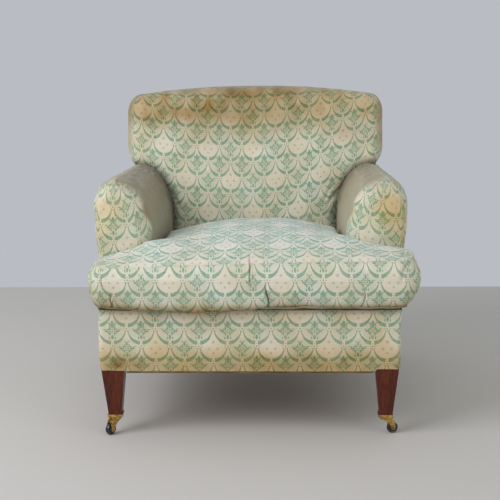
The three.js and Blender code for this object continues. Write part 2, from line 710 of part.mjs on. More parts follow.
// Loose cushion: a wide front part that wraps the arms, joined to a body between them
const cushionBottom = BORDER_TOP + CUSHION_LOFT;
const cushionBack = deckBack - CUSHION_LOFT;
const cushionFront = -CUSHION_FRONT_OVERHANG;
const cushionHalf = half + CUSHION_OVERHANG;
const bodyHalf = armInner - CUSHION_ARM_GAP;
const earBack = ARM_FRONT - CUSHION_ARM_GAP;
const CUSHION_ARC_STEPS = 4;
// Levels of the rounded side: share of the thickness, and inset as a share of CUSHION_ROUND
const PILLOW_LEVELS = [
  [0, 0.365], [0.06, 0.15], [0.22, 0], [0.5, -0.05], [0.76, 0.03], [0.9, 0.22], [0.97, 0.5], [1, 1],
];
// The edge is a little thicker towards +X. On it stands a dome that rises from the front along a sine and
// falls behind its crown. Over the ears it runs out to nothing at the ends, and between the arms it falls
// by the square of the distance from the middle.
const cushionThick = (x, y) => {
  const edge = CUSHION_EDGE_THICK + (CUSHION_EDGE_TILT * x) / cushionHalf;
  const forward = clamp01((y - cushionFront) / (CUSHION_CROWN_Y - cushionFront));
  const rearward = clamp01((y - CUSHION_CROWN_Y) / (cushionBack - CUSHION_CROWN_Y));
  const overEars = CUSHION_DOME * clamp01(1 - Math.abs(x / cushionHalf) ** 2.5) ** 1.2;
  const overBody = CUSHION_DOME - CUSHION_DOME_SIDES * clamp01(Math.abs(x) / bodyHalf) ** 2;
  const dome = lerp(overEars, overBody, clamp01((y - earBack) / (CUSHION_CROWN_Y - earBack)));
  return edge + dome * Math.sin((Math.PI / 2) * forward) - CUSHION_REAR_FALL * rearward ** 2;
};
const pillow = (x0, x1, y0, y1) => {
  const rings = PILLOW_LEVELS.map(([height, insetShare]) => {
    const ring = [];
    const inset = insetShare * CUSHION_ROUND;
    const corner = lerp(CUSHION_CORNER, CUSHION_CORNER_LEAST, clamp01(insetShare));
    const [left, right, front, back] = [x0 + inset, x1 - inset, y0 + inset, y1 - inset];
    const centres = [
      [right - corner, back - corner, 0],
      [left + corner, back - corner, 1],
      [left + corner, front + corner, 2],
      [right - corner, front + corner, 3],
    ];
    for (const [cx, cy, quarter] of centres) {
      for (let i = 0; i <= CUSHION_ARC_STEPS; i++) {
        const a = (quarter + i / CUSHION_ARC_STEPS) * (Math.PI / 2);
        ring.push([cx + corner * Math.cos(a), cy + corner * Math.sin(a)]);
      }
      const [nx, ny, nq] = centres[(quarter + 1) % 4];
      const startAngle = (quarter + 1) * (Math.PI / 2);
      const from = [cx + corner * Math.cos(startAngle), cy + corner * Math.sin(startAngle)];
      const endAngle = nq * (Math.PI / 2);
      const to = [nx + corner * Math.cos(endAngle), ny + corner * Math.sin(endAngle)];
      for (const t of [0.25, 0.5, 0.75]) {
        ring.push([lerp(from[0], to[0], t), lerp(from[1], to[1], t)]);
      }
    }
    return ring.map(([x, y]) => new THREE.Vector3(x, y, height * cushionThick(x, y)));
  });
  const edge = rings.at(-1);
  const centre = [(x0 + x1) / 2, (y0 + y1) / 2];
  for (const t of [0.5, 0.12]) {
    rings.push(edge.map((p) => {
      const x = lerp(centre[0], p.x, t);
      const y = lerp(centre[1], p.y, t);
      return new THREE.Vector3(x, y, cushionThick(x, y));
    }));
  }
  return toSolid(loft(rings));
};
const frontPillow = pillow(-cushionHalf, cushionHalf, cushionFront, earBack);
const bodyPillow = pillow(-bodyHalf, bodyHalf, cushionFront + CLOTH, cushionBack);
// The body of the cushion stays in the middle of the seat, and its front part has slid to one side.
const frontPlaced = toSolid(toGeometry(frontPillow).translate(CUSHION_SHIFT, 0, cushionBottom));
const bodyPlaced = toSolid(toGeometry(bodyPillow).translate(0, 0, cushionBottom));
add('seat_cushion', 'ticking', toGeometry(frontPlaced.add(bodyPlaced)));

// Castors. Each is built trailing along +X from its pintle at the origin, then turned and placed.
const wheelRadius = WHEEL_DIAMETER / 2;
const cupBottom = CASTOR_HEIGHT - CUP_HEIGHT;
const washerBottom = cupBottom - WASHER_THICK;
const headTop = washerBottom - GAP;
const headBottom = headTop - HEAD_THICK;
const pintleBottom = headBottom - PINTLE_TAIL;
const upright = (radius, z0, z1, sides) => {
  const cylinder = new THREE.CylinderGeometry(radius, radius, z1 - z0, sides);
  return cylinder.rotateX(Math.PI / 2).translate(0, 0, (z0 + z1) / 2);
};
const recess = LEG_FOOT / 2 + GAP;
const cupHalf = recess + CUP_WALL;
const cup = toSolid(block(-cupHalf, cupHalf, -cupHalf, cupHalf, cupBottom, CASTOR_HEIGHT))
  .subtract(toSolid(block(-recess, recess, -recess, recess, CASTOR_HEIGHT - CUP_DEPTH, CASTOR_HEIGHT + 1)))
  .add(toSolid(upright(WASHER_RADIUS, washerBottom, cupBottom + 1, HEAD_SIDES)))
  .add(toSolid(upright(PINTLE_RADIUS, pintleBottom, cupBottom + 1, PIN_SIDES)));

const cheekInner = WHEEL_WIDTH / 2 + GAP * 2;
const cheekOuter = cheekInner + CHEEK_THICK;
const cheekNose = CASTOR_TRAIL + CHEEK_EYE;
const cheekShape = new THREE.Shape();
cheekShape.moveTo(-CHEEK_BACK, headTop);
cheekShape.lineTo(CHEEK_SHOULDER, headTop);
cheekShape.quadraticCurveTo(cheekNose, headTop - CHEEK_EYE, cheekNose, wheelRadius + 1);
cheekShape.absarc(CASTOR_TRAIL, wheelRadius, CHEEK_EYE, 0.2, -Math.PI * 0.9, true);
cheekShape.quadraticCurveTo(CHEEK_THROAT, WHEEL_DIAMETER, -CHEEK_BACK, headBottom);
cheekShape.closePath();
const cheekFlat = extrude(cheekShape, CHEEK_THICK, 5);
const standUp = new THREE.Matrix4().makeBasis(
  new THREE.Vector3(1, 0, 0),
  new THREE.Vector3(0, 0, 1),
  new THREE.Vector3(0, -1, 0),
);
const cheekFar = toSolid(cheekFlat.clone().applyMatrix4(standUp).translate(0, cheekOuter, 0));
const cheekNear = toSolid(cheekFlat.clone().applyMatrix4(standUp).translate(0, -cheekInner, 0));
const axleAlong = (radius, halfLength) =>
  new THREE.CylinderGeometry(radius, radius, halfLength * 2, PIN_SIDES)
    .translate(CASTOR_TRAIL, 0, wheelRadius);
const horn = toSolid(upright(HEAD_RADIUS, headBottom, headTop, HEAD_SIDES))
  .add(cheekFar)
  .add(cheekNear)
  .subtract(toSolid(upright(PINTLE_RADIUS + GAP, 0, CASTOR_HEIGHT, PIN_SIDES)))
  .subtract(toSolid(axleAlong(AXLE_RADIUS + GAP, cheekOuter * 2)));
const axle = axleAlong(AXLE_RADIUS, cheekOuter + AXLE_END);

// The wheel is a turned profile with a flat under its lowest point.
const flatRadius = wheelRadius / Math.cos(Math.PI / WHEEL_SIDES);
const boreRadius = AXLE_RADIUS + GAP;
const w = WHEEL_WIDTH / 2;
const hubRadius = boreRadius + WHEEL_HUB;
const wheelSide = [
  [boreRadius, w],
  [hubRadius, w],
  [hubRadius + WHEEL_HUB_SLOPE, w - WHEEL_DISH],
  [flatRadius - WHEEL_RIM, w - WHEEL_DISH],
  [flatRadius - WHEEL_SHOULDER, w - WHEEL_SHOULDER_IN],
  [flatRadius, w - WHEEL_TREAD_IN],
];
const wheelProfile = [
  ...wheelSide.map(([r, y]) => new THREE.Vector2(r, -y)),
  ...wheelSide.map(([r, y]) => new THREE.Vector2(r, y)).reverse(),
  new THREE.Vector2(boreRadius, -w),
];
const wheel = new THREE.LatheGeometry(wheelProfile, WHEEL_SIDES);
wheel.rotateY(Math.PI / WHEEL_SIDES).translate(CASTOR_TRAIL, 0, wheelRadius);

const footMiddle = (foot) => [(foot.x0 + foot.x1) / 2, (foot.y0 + foot.y1) / 2];
for (const [corner, degrees] of Object.entries(TRAIL_ANGLES)) {
  const [x, y] = footMiddle(corner.startsWith('front') ? legFoot : rearFoot);
  const post = new THREE.Group();
  post.position.set(corner.endsWith('left') ? -x : x, y, 0);
  const swivel = new THREE.Group();
  swivel.rotation.z = THREE.MathUtils.degToRad(degrees);
  post.add(swivel);
  addTo(post, `castor_cup_${corner}`, 'brass', toGeometry(cup));
  addTo(swivel, `castor_horn_${corner}`, 'brass', toGeometry(horn));
  addTo(swivel, `castor_axle_${corner}`, 'steel', axle);
  addTo(swivel, `castor_wheel_${corner}`, 'castor_wheel', wheel);
  chair.add(post);
}

// The finished chair stands on the floor with its box's bottom centre at the origin.
chair.updateMatrixWorld(true);
const reach = new THREE.Box3().setFromObject(chair, true);
chair.position.set(-(reach.min.x + reach.max.x) / 2, -(reach.min.y + reach.max.y) / 2, -reach.min.z);
chair.updateMatrixWorld(true);

export default chair;
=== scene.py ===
"""Looks of a low upholstered easy chair in a worn printed ticking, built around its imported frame.

Lengths are metres. Shapes are worked out in the chair's own coordinates: x from the middle of the seat,
y back from the face of the front border, z up from the floor. placed() moves them to the frame's.
"""

import math

import bmesh
import bpy
import numpy as np
from mathutils import Matrix, Vector


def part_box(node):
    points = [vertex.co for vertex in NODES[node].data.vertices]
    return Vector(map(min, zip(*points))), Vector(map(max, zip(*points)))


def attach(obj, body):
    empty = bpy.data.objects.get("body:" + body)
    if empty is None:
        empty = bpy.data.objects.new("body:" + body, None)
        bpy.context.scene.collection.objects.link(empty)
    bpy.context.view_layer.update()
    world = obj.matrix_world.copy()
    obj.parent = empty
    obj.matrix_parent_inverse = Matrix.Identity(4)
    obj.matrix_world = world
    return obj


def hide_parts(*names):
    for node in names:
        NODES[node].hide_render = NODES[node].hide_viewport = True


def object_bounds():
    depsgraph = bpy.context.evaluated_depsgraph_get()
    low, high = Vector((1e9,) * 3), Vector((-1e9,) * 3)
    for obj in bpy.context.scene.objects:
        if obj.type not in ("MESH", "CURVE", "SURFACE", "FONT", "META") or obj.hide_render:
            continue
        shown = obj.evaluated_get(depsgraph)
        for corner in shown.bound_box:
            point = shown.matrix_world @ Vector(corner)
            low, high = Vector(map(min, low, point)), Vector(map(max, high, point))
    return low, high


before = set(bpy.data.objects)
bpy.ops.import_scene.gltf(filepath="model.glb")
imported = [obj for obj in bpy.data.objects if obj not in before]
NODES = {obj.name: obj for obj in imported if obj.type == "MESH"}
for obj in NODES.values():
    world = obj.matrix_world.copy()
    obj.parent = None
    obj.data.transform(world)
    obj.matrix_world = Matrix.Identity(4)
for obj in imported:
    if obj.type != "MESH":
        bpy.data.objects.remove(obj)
cad_low, cad_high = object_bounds()
SIDES = {"left": -1, "right": 1}

border_low, border_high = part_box("front_border_cover")
MIDDLE = (border_low.x + border_high.x) / 2
FACE = border_low.y
SEAT_HALF = (border_high.x - border_low.x) / 2
BORDER_BOTTOM = border_low.z
BORDER_TOP = border_high.z
BORDER_CORNER = 0.009
BORDER_RETURN = border_high.y - FACE

# Rear face of the chair, which leans back from the rear rail upwards
SEAT_DEPTH = 0.735
REAR_RAKE = 0.0926
COVER_GAP = 0.0028

# Arms
ARM_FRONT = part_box("arm_cover_right")[0].y - FACE
ARM_OUTER = 0.387
ARM_INNER = 0.236
ARM_CROWN = 0.333
ARM_TOP_FRONT = 0.613
ARM_TOP_REAR = 0.590
ARM_SHOULDER_DROP = 0.066
ARM_INNER_DROP = 0.158
ARM_NOSE = 0.050
ARM_NOSE_OUTER = 0.018
FLARE_START = 0.300
FLARE_END = 0.545
OUTSIDE_ARM_TOP = 0.535

# Back
BACK_HALF = 0.372
BACK_HALF_LOW = 0.353
BACK_FLARE = 0.062
BACK_TOP = cad_high.z
BACK_BOW = 0.029
BACK_FRONT = 0.590
BACK_FRONT_RAKE = 0.165
BACK_SWELL = 0.014
BACK_CORNER = 0.044
BACK_TOP_ROLL = 0.052
BACK_TOP_ROUND = 0.026
BACK_COVER_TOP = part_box("outside_back_cover")[1].z

# Seat cushion
cushion_low, cushion_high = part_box("seat_cushion")
CUSHION_BOTTOM = cushion_low.z
CUSHION_EAR_LEFT = cushion_low.x - MIDDLE
CUSHION_EAR_RIGHT = cushion_high.x - MIDDLE
CUSHION_FRONT = cushion_low.y - FACE
CUSHION_BACK = cushion_high.y - FACE
CUSHION_EAR_BACK = 0.107
CUSHION_BODY_HALF = 0.2335
CUSHION_REACH = 0.391
CUSHION_WIDEST = 0.075
CUSHION_EDGE_THICK = 0.119
CUSHION_EDGE_TILT = 0.010
CUSHION_DOME = 0.050
CUSHION_DOME_SIDES = 0.035
CUSHION_REAR_FALL = 0.047
CUSHION_CROWN_Y = 0.250
# How far the strip's seams lie inside the cushion's rim
STRIP_IN = {
    "front": 0.014, "left": 0.016, "right": 0.018, "left_low": 0.020, "right_low": 0.038, "back": 0.040,
}

# Repeat of the printed trellis: width of a cell and height of a row
CELL_WIDE = 0.0655
CELL_TALL = 0.0435


# The chair's own origin in the frame
ORIGIN = np.array([MIDDLE, FACE, 0.0])


def placed(points):
    """Points in the frame's coordinates: the chair's own, moved by its origin."""
    return points + ORIGIN


def stacked(*parts):
    """Arrays broadcast together, as the coordinates of a grid's points."""
    return np.stack(np.broadcast_arrays(*parts), axis=-1)


def mix(a, b, t):
    """Straight line from a at t = 0 to b at t = 1."""
    return a + (b - a) * t


def ease(low, high, value):
    """0 below low, 1 above high, and the cubic 3t^2 - 2t^3 between them."""
    t = np.clip((value - low) / (high - low), 0, 1)
    return t * t * (3 - 2 * t)


def quarter_sine(low, high, value):
    """Sine of a quarter turn as value goes from low to high, held at 0 and 1 outside."""
    return np.sin(np.pi / 2 * np.clip((value - low) / (high - low), 0, 1))


def rumple(u, v, wavelength, seed, waves=7):
    """Gentle unevenness, about -1 to 1: the mean of plane waves of about that length in random directions."""
    draw = np.random.default_rng(seed)
    heading = draw.uniform(0, 2 * np.pi, waves)
    phase = draw.uniform(0, 2 * np.pi, waves)
    turns = 2 * np.pi / (wavelength * draw.uniform(0.7, 1.4, waves))
    total = 0
    for direction, start, rate in zip(heading, phase, turns):
        total = total + np.sin(rate * (u * np.cos(direction) + v * np.sin(direction)) + start)
    return total * 1.6 / waves


def blob(a, b, middle_a, middle_b, reach_a, reach_b):
    """Soft round spot: exp of minus the squared distance from its middle, in reaches."""
    return np.exp(-(((a - middle_a) / reach_a) ** 2) - ((b - middle_b) / reach_b) ** 2)


def stained(a, b, spots):
    """Sum of soft round spots, each given as its strength, middle and reaches."""
    return sum(strength * blob(a, b, *spot) for strength, *spot in spots)


def grid_lines(stops, rounds, spacing, extra=()):
    """Grid lines through the stops, evenly spaced, and beside a stop with a round at r (1 - cos), so that a
    round edge there is sampled by equal angles. rounds gives the round before and after each stop."""
    lines = [np.array(extra)] if len(extra) else []
    for i in range(len(stops) - 1):
        low, high = stops[i], stops[i + 1]
        start, end = rounds[i][1], rounds[i + 1][0]
        flat = (low + start, high - end)
        lines.append(np.linspace(*flat, max(2, round((flat[1] - flat[0]) / spacing) + 1)))
        for edge, radius, way in ((low, start, 1), (high, end, -1)):
            if radius:
                steps = max(6, round(radius * 1.5 / spacing))
                lines.append(edge + way * radius * (1 - np.cos(np.linspace(0, np.pi / 2, steps))))
    every = np.unique(np.round(np.concatenate(lines), 6))
    return every[np.concatenate([[True], np.diff(every) > 2e-4])]


def lengths_along(points, axis):
    """Distance run along a grid axis from its start, by adding up the straight steps."""
    steps = np.linalg.norm(np.diff(points, axis=axis), axis=-1)
    start = np.zeros_like(np.take(steps, [0], axis=axis))
    return np.concatenate([start, np.cumsum(steps, axis=axis)], axis=axis)


def printed(across, up, cream, cell):
    """Place on the printed cloth, so that a cream cell's crossing lies at cream and a cell measures cell."""
    return stacked((across - cream[0]) * CELL_WIDE / cell[0], (up - cream[1]) * CELL_TALL / cell[1])


def facing(points):
    """Unit normals of a grid: the cross product of its two tangents."""
    across = np.gradient(points, axis=1)
    along = np.gradient(points, axis=0)
    normal = np.cross(across, along)
    return normal / np.maximum(np.linalg.norm(normal, axis=-1, keepdims=True), 1e-9)


def crease(u, v, line, width, depth):
    """Pinched fold along a slightly wavy line (u0, v0, u1, v1) on the cloth: a groove that widens and fades
    towards its ends, between two low lips, both bell curves of the distance from the line."""
    u0, v0, u1, v1 = line
    length = math.hypot(u1 - u0, v1 - v0)
    along = ((u - u0) * (u1 - u0) + (v - v0) * (v1 - v0)) / length**2
    across = ((u - u0) * (v1 - v0) - (v - v0) * (u1 - u0)) / length
    bend = across + 0.9 * width * np.sin(along * 6 + u0 * 90)
    fade = ease(-0.25, 0.45, along) * (1 - ease(0.65, 1.2, along))
    wide = width * (0.7 + 0.9 * (1 - fade))
    groove = np.exp(-((bend / wide) ** 2))
    lips = np.exp(-(((np.abs(bend) - 3 * wide) / (2.4 * wide)) ** 2))
    return depth * fade * (0.35 * lips - groove)


class Panel:
    """A grid of cloth: its points, its place on the flat cloth in metres and its marks, each 0 to 1."""

    def __init__(self, points, cloth, keep=None, flip=False, **marks):
        self.points, self.cloth, self.keep, self.flip, self.marks = points, cloth, keep, flip, marks


# Marks on the cloth: worn print, brown and tan soiling, painted shade and a painted pale sky sheen on the
# cushion's top
MARKS = ("worn", "brown", "tan", "shade", "painted_sheen")


def present(name, data):
    """A new object with the data, linked to the scene."""
    made = bpy.data.objects.new(name, data)
    bpy.context.scene.collection.objects.link(made)
    return made


def sew(name, panels, face_outwards=False):
    """One mesh from several panels. Each is a grid of quads, turned over where flip is set, without the quads
    that keep leaves out. Points that meet are merged, and each corner keeps its place on the flat cloth."""
    points, quads, cloth = [], [], []
    marks = {mark: [] for mark in MARKS}
    first = 0
    for panel in panels:
        rows, columns = panel.points.shape[:2]
        index = np.arange(rows * columns).reshape(rows, columns)
        corners = [index[:-1, :-1], index[:-1, 1:], index[1:, 1:], index[1:, :-1]]
        faces = np.stack(corners[::-1] if panel.flip else corners, axis=-1)
        faces = faces[panel.keep] if panel.keep is not None else faces.reshape(-1, 4)
        points.append(panel.points.reshape(-1, 3))
        quads.append(faces + first)
        cloth.append(panel.cloth.reshape(-1, 2)[faces.ravel()])
        for mark in MARKS:
            value = np.broadcast_to(panel.marks.get(mark, 0.0), (rows, columns))
            marks[mark].append(value.ravel())
        first += rows * columns
    mesh = bpy.data.meshes.new(name)
    mesh.from_pydata(placed(np.concatenate(points)), [], np.concatenate(quads))
    layer = mesh.uv_layers.new(name="cloth")
    layer.data.foreach_set("uv", np.concatenate(cloth).astype(np.float32).ravel())
    for mark in MARKS:
        attribute = mesh.attributes.new(mark, "FLOAT", "POINT")
        attribute.data.foreach_set("value", np.concatenate(marks[mark]).astype(np.float32))
    work = bmesh.new()
    work.from_mesh(mesh)
    bmesh.ops.remove_doubles(work, verts=work.verts, dist=2e-5)
    bmesh.ops.dissolve_degenerate(work, edges=work.edges, dist=1e-6)
    loose = [v for v in work.verts if not v.link_faces]
    bmesh.ops.delete(work, geom=loose, context="VERTS")
    if face_outwards:
        bmesh.ops.recalc_face_normals(work, faces=work.faces)
    work.to_mesh(mesh)
    work.free()
    mesh.polygons.foreach_set("use_smooth", np.full(len(mesh.polygons), True))
    return present(name, mesh)


def rear_face(z):
    """Y of the rear face: a plane that leans back by REAR_RAKE for each metre of height."""
    return SEAT_DEPTH + REAR_RAKE * (z - BORDER_BOTTOM)


def flare(z):
    """Outer side of the arm: upright at the seat, then out along a quarter sine to the arm's roll."""
    return mix(SEAT_HALF, ARM_OUTER, quarter_sine(FLARE_START, FLARE_END, z))


# Seat cushion: a box cushion, whose upper and lower cloths are joined by a strip round its sides

CUSHION_CORNER = 0.046
CUSHION_SIDE_IN = 0.012
CUSHION_NOSE = 0.053
# Spacing of the grid's lines, and how close they come beside the body's sides and in the ears' nooks
CUSHION_SPACING = (0.0042, 0.0045)
SIDE_ROUND = 0.020
NOOK_ROUND = 0.012
# Level of the crossings of the print on the strip, and how far the cloth swells beyond the seam
STRIP_LEVEL = 0.398
SEAM_PUFF = 0.0045
TUCK_PITCH = 0.017
# Lower edge of the strip above the deck, as (x, height): it sags to the left
CUSHION_SAG = [(-0.39, 0.013), (-0.33, 0.010), (-0.25, 0.003), (-0.14, -0.003), (-0.08, -0.002), (0.0, 0.005),
               (0.06, 0.010), (0.14, 0.0125), (0.28, 0.010), (0.40, 0.014)]
# Folds of the strip, as ends (x, z) from top to bottom, width and depth
STRIP_CREASES = [
    ((0.001, 0.452, 0.006, 0.384), 0.0017, 0.0042),
    ((0.041, 0.384, 0.047, 0.330), 0.0020, 0.0062),
    ((0.268, 0.382, 0.272, 0.338), 0.0024, 0.0030),
    ((-0.323, 0.362, -0.321, 0.330), 0.0018, 0.0040),
    ((0.372, 0.440, 0.350, 0.392), 0.0034, 0.0028),
    ((-0.352, 0.418, -0.336, 0.380), 0.0036, 0.0022),
    ((-0.105, 0.352, -0.100, 0.322), 0.0030, 0.0022),
]
# Stains at the ends of the strip, as strength, middle and reaches
CUSHION_STAINS = [(0.30, -0.33, 0.345, 0.045, 0.030), (0.22, 0.385, 0.345, 0.035, 0.03)]


def rounded(x, y, low_x, high_x, low_y, high_y):
    """Draws a grid in to a rectangle with round corners. With a and b running from 0, a corner's radius
    inside an edge, to 1 on it, a becomes a * sqrt(1 - b^2 / 2) and b likewise, which lays the rim on a
    quarter circle. Gives the moves, the distance inside the rim and the turn round the corner, 0 facing y."""
    radius = CUSHION_CORNER
    a = np.clip(1 - np.minimum(x - low_x, high_x - x) / radius, 0, 1)
    b = np.clip(1 - np.minimum(y - low_y, high_y - y) / radius, 0, 1)
    pulled_a, pulled_b = a * np.sqrt(1 - b**2 / 2), b * np.sqrt(1 - a**2 / 2)
    reach = np.hypot(pulled_a, pulled_b)
    move_x = np.sign(x - (low_x + high_x) / 2) * radius * (pulled_a - a)
    move_y = np.sign(y - (low_y + high_y) / 2) * radius * (pulled_b - b)
    turn = np.arctan2(pulled_a, np.maximum(pulled_b, 1e-9)) * (pulled_a > 0)
    return move_x, move_y, radius * (1 - reach), turn


def cushion_thickness(x, y):
    """A slightly tilted edge thickness, and on it a dome that rises from the front along a quarter sine and
    falls behind its crown by the square. Over the ears the dome runs out to the ends, between the arms it
    falls by the square of x. Beside the arms' noses it is pressed up a little."""
    edge = CUSHION_EDGE_THICK + CUSHION_EDGE_TILT * x / CUSHION_REACH
    back = np.clip((y - CUSHION_CROWN_Y) / (CUSHION_BACK - CUSHION_CROWN_Y), 0, 1)
    over_ears = CUSHION_DOME * np.clip(1 - np.abs(x / CUSHION_REACH) ** 2.5, 0, 1) ** 1.2
    over_body = CUSHION_DOME - CUSHION_DOME_SIDES * np.clip(np.abs(x) / CUSHION_BODY_HALF, 0, 1.1) ** 2
    into_body = np.clip((y - CUSHION_EAR_BACK) / (CUSHION_CROWN_Y - CUSHION_EAR_BACK), 0, 1)
    dome = mix(over_ears, over_body, into_body)
    pressed = 0.009 * blob(np.abs(x), y, 0.245, 0.115, 0.055, 0.06)
    rise = quarter_sine(CUSHION_FRONT, CUSHION_CROWN_Y, y)
    return edge + dome * rise - CUSHION_REAR_FALL * back**2 + pressed


def cushion_plan():
    """The grid of the T's plan. Between ears and body its lines bend out, so that the cushion fills the
    corner in front of the arm's round nose: the body's side runs on an arc round the nose's own centre."""
    x_stops = (CUSHION_EAR_LEFT, -CUSHION_BODY_HALF, CUSHION_BODY_HALF, CUSHION_EAR_RIGHT)
    x_rounds = ((0, CUSHION_CORNER), (0, SIDE_ROUND), (SIDE_ROUND, 0), (CUSHION_CORNER, 0))
    folds = [line[0] + step for line, _, _ in STRIP_CREASES for step in np.linspace(-0.009, 0.011, 13)]
    x_lines = grid_lines(x_stops, x_rounds, CUSHION_SPACING[0], folds)
    y_stops = (CUSHION_FRONT, CUSHION_EAR_BACK, CUSHION_BACK)
    y_rounds = ((0, CUSHION_CORNER), (NOOK_ROUND, CUSHION_NOSE), (CUSHION_CORNER, 0))
    y_lines = grid_lines(y_stops, y_rounds, CUSHION_SPACING[1])
    strip_lines = CUSHION_FRONT + STRIP_IN["front"] * (1 - np.cos(np.linspace(0, np.pi / 2, 26)))
    y_lines = np.unique(np.round(np.concatenate([y_lines, strip_lines]), 6))
    y_lines = y_lines[np.concatenate([[True], np.diff(y_lines) > 1e-5])]
    x, y = np.meshgrid(x_lines, y_lines)
    mid_x, mid_y = (x[:-1, :-1] + x[1:, 1:]) / 2, (y[:-1, :-1] + y[1:, 1:]) / 2
    keep = (mid_y < CUSHION_EAR_BACK) | (np.abs(mid_x) < CUSHION_BODY_HALF)
    centre_x, centre_y = ARM_INNER + ARM_NOSE, CUSHION_EAR_BACK + CUSHION_NOSE
    along = np.clip(centre_y - y, 0, CUSHION_NOSE)
    bend = centre_x - np.sqrt(CUSHION_NOSE**2 - along**2) - CUSHION_BODY_HALF
    bend = bend * ease(-0.010, CUSHION_EAR_BACK, y)
    ear_end = np.where(x < 0, -CUSHION_EAR_LEFT, CUSHION_EAR_RIGHT)
    outside = np.clip((ear_end - np.abs(x)) / (ear_end - CUSHION_BODY_HALF), 0, 1)
    inside = np.clip((np.abs(x) - 0.11) / (CUSHION_BODY_HALF - 0.11), 0, 1) ** 2
    bend = bend * np.where(np.abs(x) < CUSHION_BODY_HALF, inside, outside)
    return x, y, np.sign(x) * bend, keep


def cushion_half(upper):
    """Upper or lower half: from the widest line the strip goes in along a parabola, height by the root of the
    distance inside the rim, to the seam, and beyond it lies the domed top or the flat underside."""
    x, y, bend, keep = cushion_plan()
    ear = (CUSHION_EAR_LEFT, CUSHION_EAR_RIGHT, CUSHION_FRONT, CUSHION_EAR_BACK)
    ear_x, ear_y, ear_in, turn = rounded(x, y, *ear)
    body_x, body_y, body_in, _ = rounded(x, y, -CUSHION_BODY_HALF, CUSHION_BODY_HALF, -1.0, CUSHION_BACK)
    half = "" if upper else "_low"
    end = np.where(x < 0, STRIP_IN["left" + half], STRIP_IN["right" + half])
    edge = np.where(y < 0.03, STRIP_IN["front"], CUSHION_SIDE_IN)
    ear_rise = np.sqrt(np.clip(ear_in / mix(edge, end, np.sin(turn) ** 2), 0, 1))
    back_in = mix(CUSHION_SIDE_IN, STRIP_IN["back"], ease(CUSHION_BACK - 0.09, CUSHION_BACK - 0.03, y))
    body_rise = np.sqrt(np.clip(body_in / back_in, 0, 1))
    front_rise = np.sqrt(np.clip((y - CUSHION_FRONT) / STRIP_IN["front"], 0, 1))
    height = np.maximum(ear_rise, np.minimum(body_rise, front_rise))
    px, py = x + ear_x + body_x + bend, y + ear_y + body_y
    if upper:
        level = cushion_thickness(px, py)
        puff = SEAM_PUFF * (1 - np.exp(-(np.maximum(y - CUSHION_FRONT - STRIP_IN["front"], 0) / 0.012)))
        level = level - SEAM_PUFF + puff + 0.0024 * rumple(px, py, 0.17, 11) * ease(0.0, 0.06, y)
    else:
        sag_x, sag_z = np.array(CUSHION_SAG).T
        level = np.interp(px, sag_x, sag_z) * (1 - ease(-0.028, 0.012, py))
    z = CUSHION_BOTTOM + CUSHION_WIDEST + (level - CUSHION_WIDEST) * height
    points = stacked(px, py, z)

    side = np.where(x < (ear[0] + ear[1]) / 2, -1, 1)
    corner_x = np.where(side < 0, ear[0] + CUSHION_CORNER, ear[1] - CUSHION_CORNER)
    on_end = np.maximum(y - CUSHION_FRONT - CUSHION_CORNER, 0)
    straight = (x - corner_x) * side <= 0
    strip_u = np.where(straight, px, corner_x + side * (CUSHION_CORNER * turn + on_end))
    run = lengths_along(points, 0)
    seam_row = np.argmin(np.abs(y[:, 0] - CUSHION_FRONT - STRIP_IN["front"]))
    return points, height, keep, strip_u, run - run[seam_row], turn


